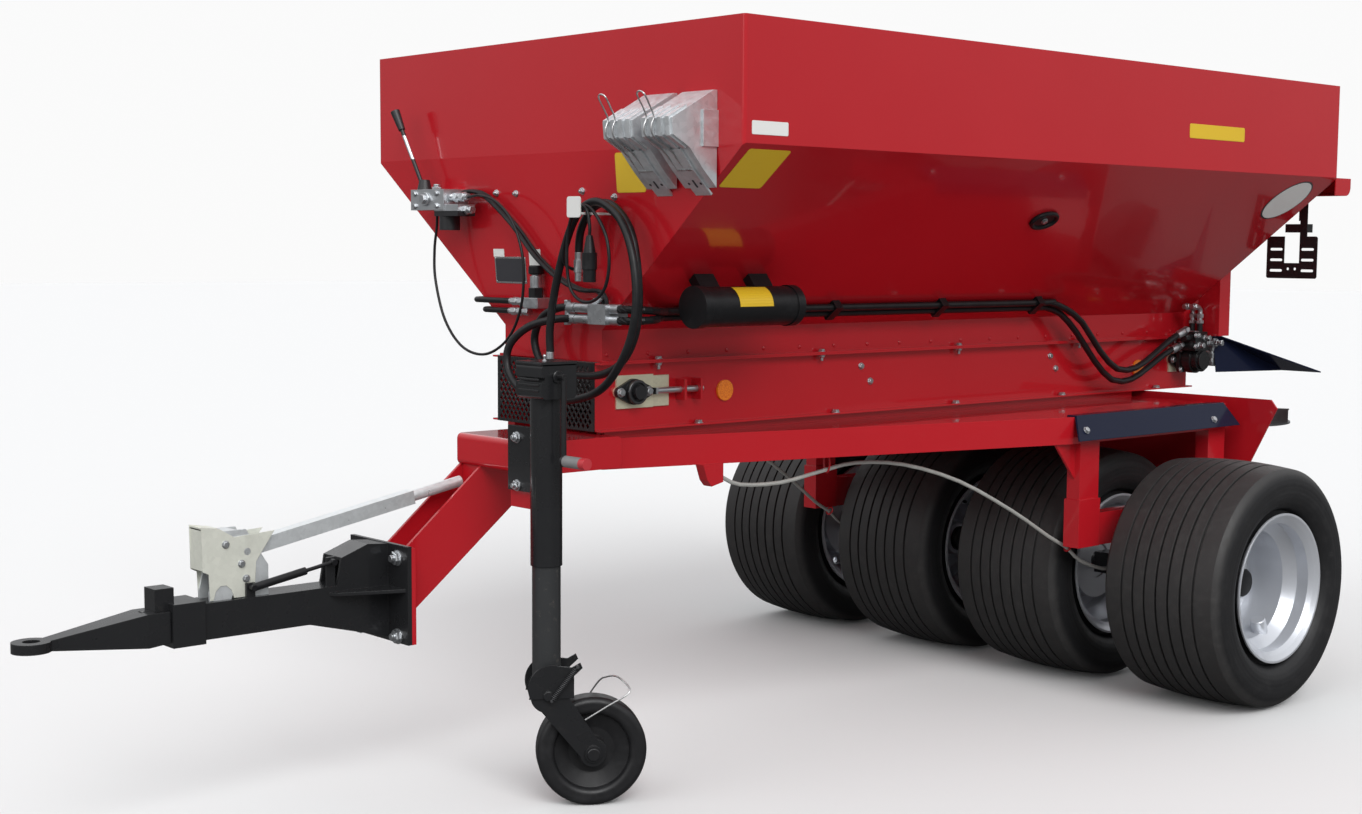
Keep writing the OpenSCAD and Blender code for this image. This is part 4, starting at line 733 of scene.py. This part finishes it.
def make_stickers():
    yellows, whites = Build(), Build()
    slope, front = (X, UP_SLOPE, OFF_SLOPE), (Y, UP_FRONT, OFF_FRONT)
    upper, far_upper = (X, Z, Y), (X, Z, -Y)
    for build, centre, (across, up, out), width, height, radius in (
            (yellows, slope_point(1975, 1643), slope, 0.145, 0.146, 0.008),
            (yellows, front_point(385, 1640), front, 0.12, 0.105, 0.008),
            (yellows, mm(24, HOPPER_HALF, 1820), upper, 0.31, 0.045, 0.006),
            (yellows, mm(24, -HOPPER_HALF, 1820), far_upper, 0.31, 0.045, 0.006),
            (whites, mm(1993, HOPPER_HALF, 1740), upper, 0.125, 0.034, 0.004),
            (whites, front_point(-229, 1425), front, 0.052, 0.024, 0.003),
            (whites, front_point(-58, 1412), front, 0.054, 0.050, 0.003)):
        build.slab(round_outline(centre, across, up, width, height, radius), out, STICKER)
    add_tube_sticker(yellows)
    whites.done("stickers_white", sticker_white, slot="white_paint")
    yellows.done("stickers_yellow", yellow)


def make_type_plate():
    y, z, thick = -177, 1377, 0.0012
    centre = front_point(y, z)
    plate, field, rivets = Build(), Build(), Build()
    plate.slab(round_outline(centre, Y, UP_FRONT, 0.148, 0.076, 0.004), OFF_FRONT, thick)
    plate.done("type_plate", steel, slot="zinc")
    field_outline = round_outline(centre + OFF_FRONT * thick, Y, UP_FRONT, 0.138, 0.066, 0.003)
    field.slab(field_outline, OFF_FRONT, 0.0004)
    field.done("type_plate_field", dark_plate_and_slot_shade)
    rivet = [(0, 0.0035), (0.0012, 0.003), (0.002, 0.001)]
    for dy in (-69, 69):
        for dz in (-33, 33):
            rivets.lathe(front_point(y + dy, z + dz) + OFF_FRONT * 0.001, OFF_FRONT, rivet, 10)
    rivets.done("type_plate_rivets", zinc, slot="zinc")


def make_grommet():
    centre = slope_point(641, 1539) + OFF_SLOPE * 0.006
    ring = [centre + X * 0.052 * math.cos(a) + UP_SLOPE * 0.034 * math.sin(a) for a in angles(32)]
    grommet, bolt = Build(), Build()
    grommet.tube(ring, 0.007, 10, True)
    grommet.slab(ring, -OFF_SLOPE, 0.004)
    grommet.done("grommet", plastic, slot="black_rubber")
    bolt.bolt(centre, OFF_SLOPE, M10)
    bolt.done("grommet_bolt", zinc, slot="zinc")


make_round_sign()
make_stickers()
make_type_plate()
make_grommet()


# Jack: bolts, head cap, and the foot's cheeks, spring and wire bail
def make_jack_head():
    bolts, cap = Build(), Build()
    for z in (824, 950):
        bolts.stud(mm(JACK_X, 259, z), X, 0.014, 0.008)
    nipple = [(0, 0.006), (0.006, 0.006), (0.007, 0.0035), (0.014, 0.0035), (0.016, 0.0045), (0.020, 0.003)]
    bolts.lathe(mm(JACK_X + 20, JACK_Y + 20, 1153), Z, nipple, 12)
    bolts.done("jack_bolts", zinc, slot="zinc", angle=30)
    cap_half, cap_low, cap_top = 58, 1146, 1156
    cap.block(mm(JACK_X - cap_half, JACK_Y - cap_half, cap_low),
              mm(JACK_X + cap_half, JACK_Y + cap_half, cap_top), 0.003)
    rib_back, rib_front, rib_half, rib_height = 54, 57, 44, 6
    for z in (1080, 1094, 1108):
        cap.block(mm(JACK_X + rib_back, JACK_Y - rib_half, z),
                  mm(JACK_X + rib_front, JACK_Y + rib_half, z + rib_height), 0.001)
    cap.cyl(mm(JACK_X + 6, JACK_Y + 54, 1118), Y, 0.017, 0.008, 24, 0.002)
    cap.done("jack_head_cap", black, slot="black_paint")


def foot_point(x, y, z):
    """A point of the jack's foot, which is turned about the jack's upright axis."""
    c, s = math.cos(JACK_FOOT_TURN), math.sin(JACK_FOOT_TURN)
    return mm(JACK_X + x * c - y * s, JACK_Y + x * s + y * c, z)


FOOT_OUT = Vector((-math.sin(JACK_FOOT_TURN), math.cos(JACK_FOOT_TURN), 0))


def make_foot_cheeks():
    cheeks = Build()
    crown = [(-8 + 60 * math.cos(a), 318 + 62 * math.sin(a)) for a in map(math.radians, range(-20, 120, 10))]
    tail = [(-60, 372), (-82, 384), (-88, 370), (-66, 350), (-66, 292), (50, 292)]
    for s in SIDES:
        out = FOOT_OUT * s
        cheeks.slab([foot_point(x, s * 53, z) for x, z in crown + tail], out, 0.004)
        cheeks.cyl(foot_point(0, s * 57, 300), out, 0.013, 0.007, 20, 0.0015)
        cheeks.cyl(foot_point(-116, s * 60, 143), out, 0.017, 0.006, 24, 0.002)
    cheeks.done("foot_cheeks", black, "jack_foot", "black_paint")


def make_foot_spring():
    low, high = foot_point(-7, 66, 289), foot_point(-74, 66, 376)
    span = high - low
    way = span.normalized()
    u = way.orthogonal().normalized()
    w = way.cross(u)
    turns, steps, radius = 20, 220, 0.0065
    coil = []
    for i in range(steps + 1):
        a = math.tau * turns * i / steps
        coil.append(low + span * (0.06 + 0.86 * i / steps) + (u * math.cos(a) + w * math.sin(a)) * radius)
    spring = Build()
    spring.tube(coil, 0.0014, 6)
    for end, reach in ((low, 0.08), (high, -0.1)):
        spring.tube([end, end + span * reach], 0.0016, 6)
        spring.cyl(end - FOOT_OUT * 0.009, FOOT_OUT, 0.004, 0.016, 10)
    spring.done("foot_spring", dark_steel, "jack_foot", "black_paint")


def make_foot_bail():
    points = ((-94, 60, 235), (-150, 61, 268), (-206, 60, 301), (-205, 40, 318),
              (-182, 5, 333), (-160, -30, 325), (-140, -52, 307), (-96, -60, 240))
    bail = Build()
    bail.tube(smooth_path([foot_point(*p) for p in points], 6), 0.0024, 8)
    bail.done("foot_bail", steel, "jack_foot", "zinc")


make_jack_head()
make_foot_cheeks()
make_foot_spring()
make_foot_bail()


# Wire clips of the chocks, tabs on their holders, and painted shade: thin dark sheets where the holders'
# slots and holes are
def make_chock_trim():
    wire, dark = Build(), Build()
    base_x, base_z = 2081.5, 1594
    up = Vector((1, 0, 1)).normalized()
    off = Vector((1, 0, -1)).normalized()
    side = [(46, 40), (96, 88), (152, 122), (160, 146), (152, 170), (164, 194), (182, 222)]
    bow_x, bow_z = 187, 230
    for centre in (518, 668):
        near, far = centre - 32, centre - 4
        loop = [(x, near, z) for x, z in side]
        loop.append((bow_x, (near + far) / 2, bow_z))
        loop += [(x, far, z) for x, z in reversed(side)]
        wire.tube(smooth_path([mm(base_x + x, y, base_z + z) for x, y, z in loop], 5), 0.0022, 8)
        middle = mm(base_x + 19.4, centre, base_z + 10.1)
        # painted shade: a thin dark sheet for the holder's slot and two dark discs for its holes stand in for
        # the shade inside them
        dark.slab(round_outline(middle, Y, up, 0.007, 0.026, 0.003), off, 0.0006)
        for y in (-0.022, 0.022):
            dark.cyl(middle + Y * y, off, 0.004, 0.0006, 14)
        for y in (-0.014, 0.014):
            wire.slab(round_outline(middle + up * 0.047 + Y * y, Y, up, 0.026, 0.004, 0.0015), off, 0.002)
    wire.done("chock_clips", steel, slot="zinc")
    dark.done("chock_holder_slot_shade", dark_plate_and_slot_shade)


make_chock_trim()


# Hydraulic fittings: a row of hexagon and round steps, each (length, radius, sides) in millimetres
HEX, ROUND = 6, 16
NUT = [(14, 11, HEX), (6, 9, ROUND), (18, 13, HEX), (10, 10, ROUND)]


def add_fitting(build, at, way, steps):
    """Put the steps in a row along way and return the row's end."""
    way = Vector(way).normalized()
    for length, radius, sides in steps:
        build.cyl(at, way, radius / 1000, length / 1000, sides, 0.0012)
        at = at + way * length / 1000
    return at


def add_solenoid(fittings, dark):
    """Small valve on the front wall, and its two tubes round the hopper's corner into the far slope."""
    x, y = 2076, -28
    fittings.block(mm(2036, -62, 1272), mm(2098, 6, 1302), 0.002)
    fittings.lathe(mm(x, y, 1328), Z, [(0, 0.0165), (0.034, 0.0165), (0.034, 0.012), (0.040, 0.012)], 24)
    dark.cyl(mm(x, y, 1302), Z, 0.022, 0.028, HEX, 0.002)
    dark.cyl(mm(x, y, 1366), Z, 0.021, 0.026, 24, 0.004)
    dark.block(mm(2058, -46, 1368), mm(2078, -24, 1388), 0.002)
    off_far_slope = Vector((0, -OFF_SLOPE.y, OFF_SLOPE.z))
    bend = ((0, 40), (-8, -10), (-40, -24), (-85, -20), (-130, -14))
    for x, start, z in ((2078, -62, 1290), (2072, -74, 1262)):
        end = add_fitting(fittings, mm(x, start, z), -Y, NUT + [(24, 12, HEX), (12, 9, ROUND)])
        wall = slope_point(x - 170, z, -1)
        corner = [mm(x + dx, wall.y * 1000 + dy, z) for dx, dy in bend]
        dark.tube(smooth_path([end] + corner + [wall + Y * 0.002], 5), 0.0085, 12)
        dark.cyl(wall, off_far_slope, 0.016, 0.006, 20, 0.002)


def add_front_fittings(fittings):
    """Fittings beside the front block, and ferrules where the free hoses start."""
    add_fitting(fittings, mm(2072, -62, 1262), -Y, [(14, 12, HEX)])
    add_fitting(fittings, mm(2086, 130, 1300), -Z, [(22, 10, HEX), (30, 8, ROUND), (16, 11, HEX)])
    add_fitting(fittings, mm(2080, 240, 1292), Y * 0.6 + Z * 0.4, [(16, 12, HEX), (20, 9, ROUND)])
    ferrule = [(0, 0.0145), (0.030, 0.0145), (0.034, 0.0125), (0.040, 0.0125)]
    for name in ("hose_a", "hose_b"):
        start, second = (mm(*p) for p in ROUTES[name][:2])
        way = nearest_axis(second - start)
        fittings.lathe(start + way * 0.002, way, ferrule, 20)


def add_motor_fittings(fittings):
    """Elbows, tee, pipe and bolts on the conveyor motor and its valve block."""
    elbow = [(0, 0), (0, 0.014), (0.016, 0.024), (0.03, 0.026)]
    for y in (287, 319):
        foot = [(12, 14, HEX), (8, 10, ROUND), (16, 13, HEX)]
        end = add_fitting(fittings, mm(ROLLER_REAR_X, y, 1182), Z, foot)
        path = [end + Z * dz + X * dx for dx, dz in elbow]
        fittings.tube(smooth_path(path, 4), 0.009, 12)
        add_fitting(fittings, path[-1], X, [(14, 13, HEX), (12, 10, ROUND)])
    fittings.block(mm(-668, 282, 1152), mm(-636, 330, 1156), 0.001)
    for x in (-650, -630):
        for z in (1100, 1140):
            fittings.bolt(mm(x, 339, z), Y, M8)
    pipe = [(0, 0.010), (0.02, 0.010), (0.02, 0.014), (0.045, 0.014), (0.045, 0.009),
            (0.09, 0.009), (0.09, 0.014), (0.12, 0.014), (0.12, 0.010), (0.14, 0.010)]
    fittings.lathe(mm(-798, 262, 1006), Z, pipe, 18)
    fittings.block(mm(-806, 288, 1092), mm(-776, 320, 1124), 0.002)
    plug = [(8, 13, HEX), (10, 9, ROUND), (8, 11, HEX)]
    drop = [(14, 12, HEX), (8, 9, ROUND), (20, 13, HEX), (10, 10, ROUND), (16, 12, HEX)]
    for at, way, steps in (
            ((-798, 262, 1070), Y, [(16, 13, HEX), (16, 10, ROUND), (14, 13, HEX)]),
            ((-709, 304, 1108), -X, NUT + [(22, 12, HEX)]),
            ((-791, 304, 1092), -Z, drop),
            ((-791, 320, 1108), Y, [(10, 13, HEX), (12, 9, ROUND), (8, 11, HEX)]),
            ((-806, 304, 1108), -X, [(12, 12, HEX), (14, 9, ROUND), (12, 12, HEX)]),
            ((-690, 336, 1130), Y, plug),
            ((-652, 336, 1104), Y, plug)):
        add_fitting(fittings, mm(*at), way, steps)
    motor_face, bolt_half = 266.5, 36
    for dx in (-bolt_half, bolt_half):
        for dz in (-bolt_half, bolt_half):
            fittings.bolt(mm(ROLLER_REAR_X + dx, motor_face, ROLLER_Z + dz), Y, M10)


def add_side_hose_ends(fittings):
    way = Vector((90, 4, -27)).normalized()
    ferrule = [(0, 0.0125), (0.004, 0.0145), (0.036, 0.0145), (0.040, 0.0125), (0.046, 0.012)]
    for y, z in ((291, 1099), (312, 1154)):
        fittings.lathe(mm(-592, y, z), way, ferrule, 20)
        add_fitting(fittings, mm(-592, y, z), -way, [(6, 10, ROUND), (16, 15, HEX), (8, 11, ROUND)])


def add_valve_fittings(fittings):
    """Caps, plugs and nuts on the hand valve's casting."""
    body_x, face_x = 2121, 2156
    for at, way, steps in (
            ((body_x, -535, 1580), -Y, [(10, 22, 24), (12, 13, HEX)]),
            ((body_x, -352, 1585), Y, [(16, 16, HEX), (14, 13, 20), (18, 15, HEX)]),
            ((face_x, -456, 1580), X, [(6, 20, 24), (10, 14, HEX)]),
            ((body_x, -300, 1548), Y, [(12, 14, HEX), (12, 10, ROUND), (8, 12, HEX)]),
            ((body_x, -450, 1608), Z, [(8, 15, HEX), (8, 10, ROUND)])):
        add_fitting(fittings, mm(*at), way, steps)
    for y in (-512, -400):
        for z in (1560, 1596):
            fittings.bolt(mm(face_x, y, z), X, M8)


def make_hydraulics():
    fittings, dark = Build(), Build()
    add_solenoid(fittings, dark)
    add_front_fittings(fittings)
    add_motor_fittings(fittings)
    add_side_hose_ends(fittings)
    add_valve_fittings(fittings)
    fittings.done("hydraulic_fittings", zinc, slot="zinc", angle=30)
    dark.done("solenoid_valve", plastic, slot="black_rubber")


make_hydraulics()


# Bolts of the handbrake and of the guard strips
def make_trim_bolts():
    bolts = Build()
    for s in SIDES:
        for x, z in ((3012, 622), (3066, 712), (3024, 660)):
            bolts.bolt(mm(x, s * 32, z), s * Y, 0.009)
        for x, y, z in ((425, 644, 881), (-287, 646.5, 875)):
            bolts.bolt(mm(x, s * y, z), Vector((0, s * 0.832, 0.555)), 0.011)
    bolts.done("trim_bolts", zinc, slot="zinc", angle=30)


# Thin outer plates of the handbrake, with their front and top strips
def make_handbrake_plates():
    outline = [(2990, 577), (3045, 577), (3052, 598), (3066, 610), (3082, 610), (3094, 598), (3100, 577),
               (3109, 577), (3112, 642), (3128, 650), (3130, 760), (3082, 752), (3043, 728), (2932, 735),
               (2984, 662)]
    half = 30
    plates = Build()
    for s in SIDES:
        plates.slab([mm(x, s * half, z) for x, z in outline], s * Y, 0.002)
    plates.block(mm(3124, -half, 652), mm(3128, half, 758))
    plates.block(mm(3086, -half, 751), mm(3128, half, 754))
    plates.done("handbrake_plates", pale_zinc, slot="zinc")


# Rings that hold the brake cables
def make_cable_rings():
    rings = Build()
    wire, half_width = 0.003, 0.012
    for s in SIDES:
        way = Vector((-150, s * 14, -92)).normalized()
        across = way.cross(Z).normalized()
        for centre, u, w, half_height in ((mm(362, s * 536.7, 490), across, across.cross(way), 0.014),
                                          (mm(1277, s * 337, 812), Y, Z, 0.028)):
            ring = [centre + u * half_width * math.cos(a) + w * half_height * math.sin(a) for a in angles(24)]
            rings.tube(ring, wire, 8, True)
    rings.done("cable_rings", red, slot="red_paint")


# Tails of the front bearing plates, and dark rings round the bearings that no motor covers
def make_bearing_trim():
    tails, rings = Build(), Build()
    for s in SIDES:
        tails.block(mm(1803, s * 222, 1003), mm(1875, s * 228, 1090), 0.0008)
    tails.done("bearing_plate_tails", cream)
    ring = [(0, 0.034), (0.004, 0.034), (0.0055, 0.032), (0.0055, 0.027), (0.0, 0.027)]
    for x, s in ((ROLLER_FRONT_X, -1), (ROLLER_REAR_X, -1), (ROLLER_FRONT_X, 1)):
        rings.lathe(mm(x, s * 252.5, ROLLER_Z), s * Y, ring, 40)
    rings.done("bearing_rings", dark_steel, slot="black_paint")


make_trim_bolts()
make_handbrake_plates()
make_cable_rings()
make_bearing_trim()


# Floor and light
FLOOR_HALF = 60
SUNS = (("key", (-0.40, -0.90, -0.78), 1.95, 40),
        ("front", (-0.9, 0.05, -0.6), 0.75, 60),
        ("rear", (0.8, 0.7, -0.9), 0.35, 60))


def make_floor():
    """Pale floor for the camera, darker in reflections and for the light that it throws back."""
    mesh = bpy.data.meshes.new("floor")
    corners = [(-1, -1), (1, -1), (1, 1), (-1, 1)]
    mesh.from_pydata([(x * FLOOR_HALF, y * FLOOR_HALF, 0) for x, y in corners], [], [(0, 1, 2, 3)])
    floor = new_object("floor", mesh)
    look = Look("floor_pale")
    rays = look.new("LightPath").outputs
    speck = look.span(look.noise(3, 4), 0.3, 0.7, 0.0, 0.03)
    ground = look.mix(rays["Is Glossy Ray"], (0.38, 0.38, 0.38), (0.11, 0.11, 0.11))
    pale = look.mix(speck, (0.80, 0.80, 0.80), (0.75, 0.75, 0.745))
    look.to("Base Color", look.mix(rays["Is Camera Ray"], ground, pale))
    look.put(Roughness=0.95, Specular_IOR_Level=0.1)
    mesh.materials.append(look.material)


def make_sky():
    """Even soft light, a sky that grows brighter upwards in reflections, a plain pale one for the camera."""
    world = bpy.data.worlds.new("studio")
    bpy.context.scene.world = world
    world.use_nodes = True
    tree = world.node_tree
    tree.nodes.clear()

    def node(kind):
        return tree.nodes.new("ShaderNode" + kind)

    light, shown = node("Background"), node("Background")
    place, split, rise, level = node("TexCoord"), node("SeparateXYZ"), node("MapRange"), node("Mix")
    rays, choice, out = node("LightPath"), node("MixShader"), node("OutputWorld")
    light.inputs[0].default_value = (0.97, 0.98, 1.0, 1)
    shown.inputs[0].default_value = (0.96, 0.96, 0.96, 1)
    even, height_low, height_high, bright_low, bright_high = 0.62, 0.0, 0.75, 0.22, 1.15
    for i, value in enumerate((height_low, height_high, bright_low, bright_high), 1):
        rise.inputs[i].default_value = value
    level.inputs[2].default_value = even
    for source, target in ((place.outputs["Generated"], split.inputs[0]),
                           (split.outputs[2], rise.inputs[0]),
                           (rays.outputs["Is Glossy Ray"], level.inputs[0]),
                           (rise.outputs[0], level.inputs[3]),
                           (level.outputs[0], light.inputs[1]),
                           (rays.outputs["Is Camera Ray"], choice.inputs[0]),
                           (light.outputs[0], choice.inputs[1]),
                           (shown.outputs[0], choice.inputs[2]),
                           (choice.outputs[0], out.inputs[0])):
        tree.links.new(source, target)


def make_suns():
    for name, way, power, wide in SUNS:
        data = bpy.data.lights.new(name, "SUN")
        data.energy = power
        data.angle = math.radians(wide)
        new_object(name, data).rotation_euler = Vector(way).to_track_quat("-Z", "Y").to_euler()


make_floor()
make_sky()
make_suns()
bpy.context.scene.view_settings.view_transform = "Standard"
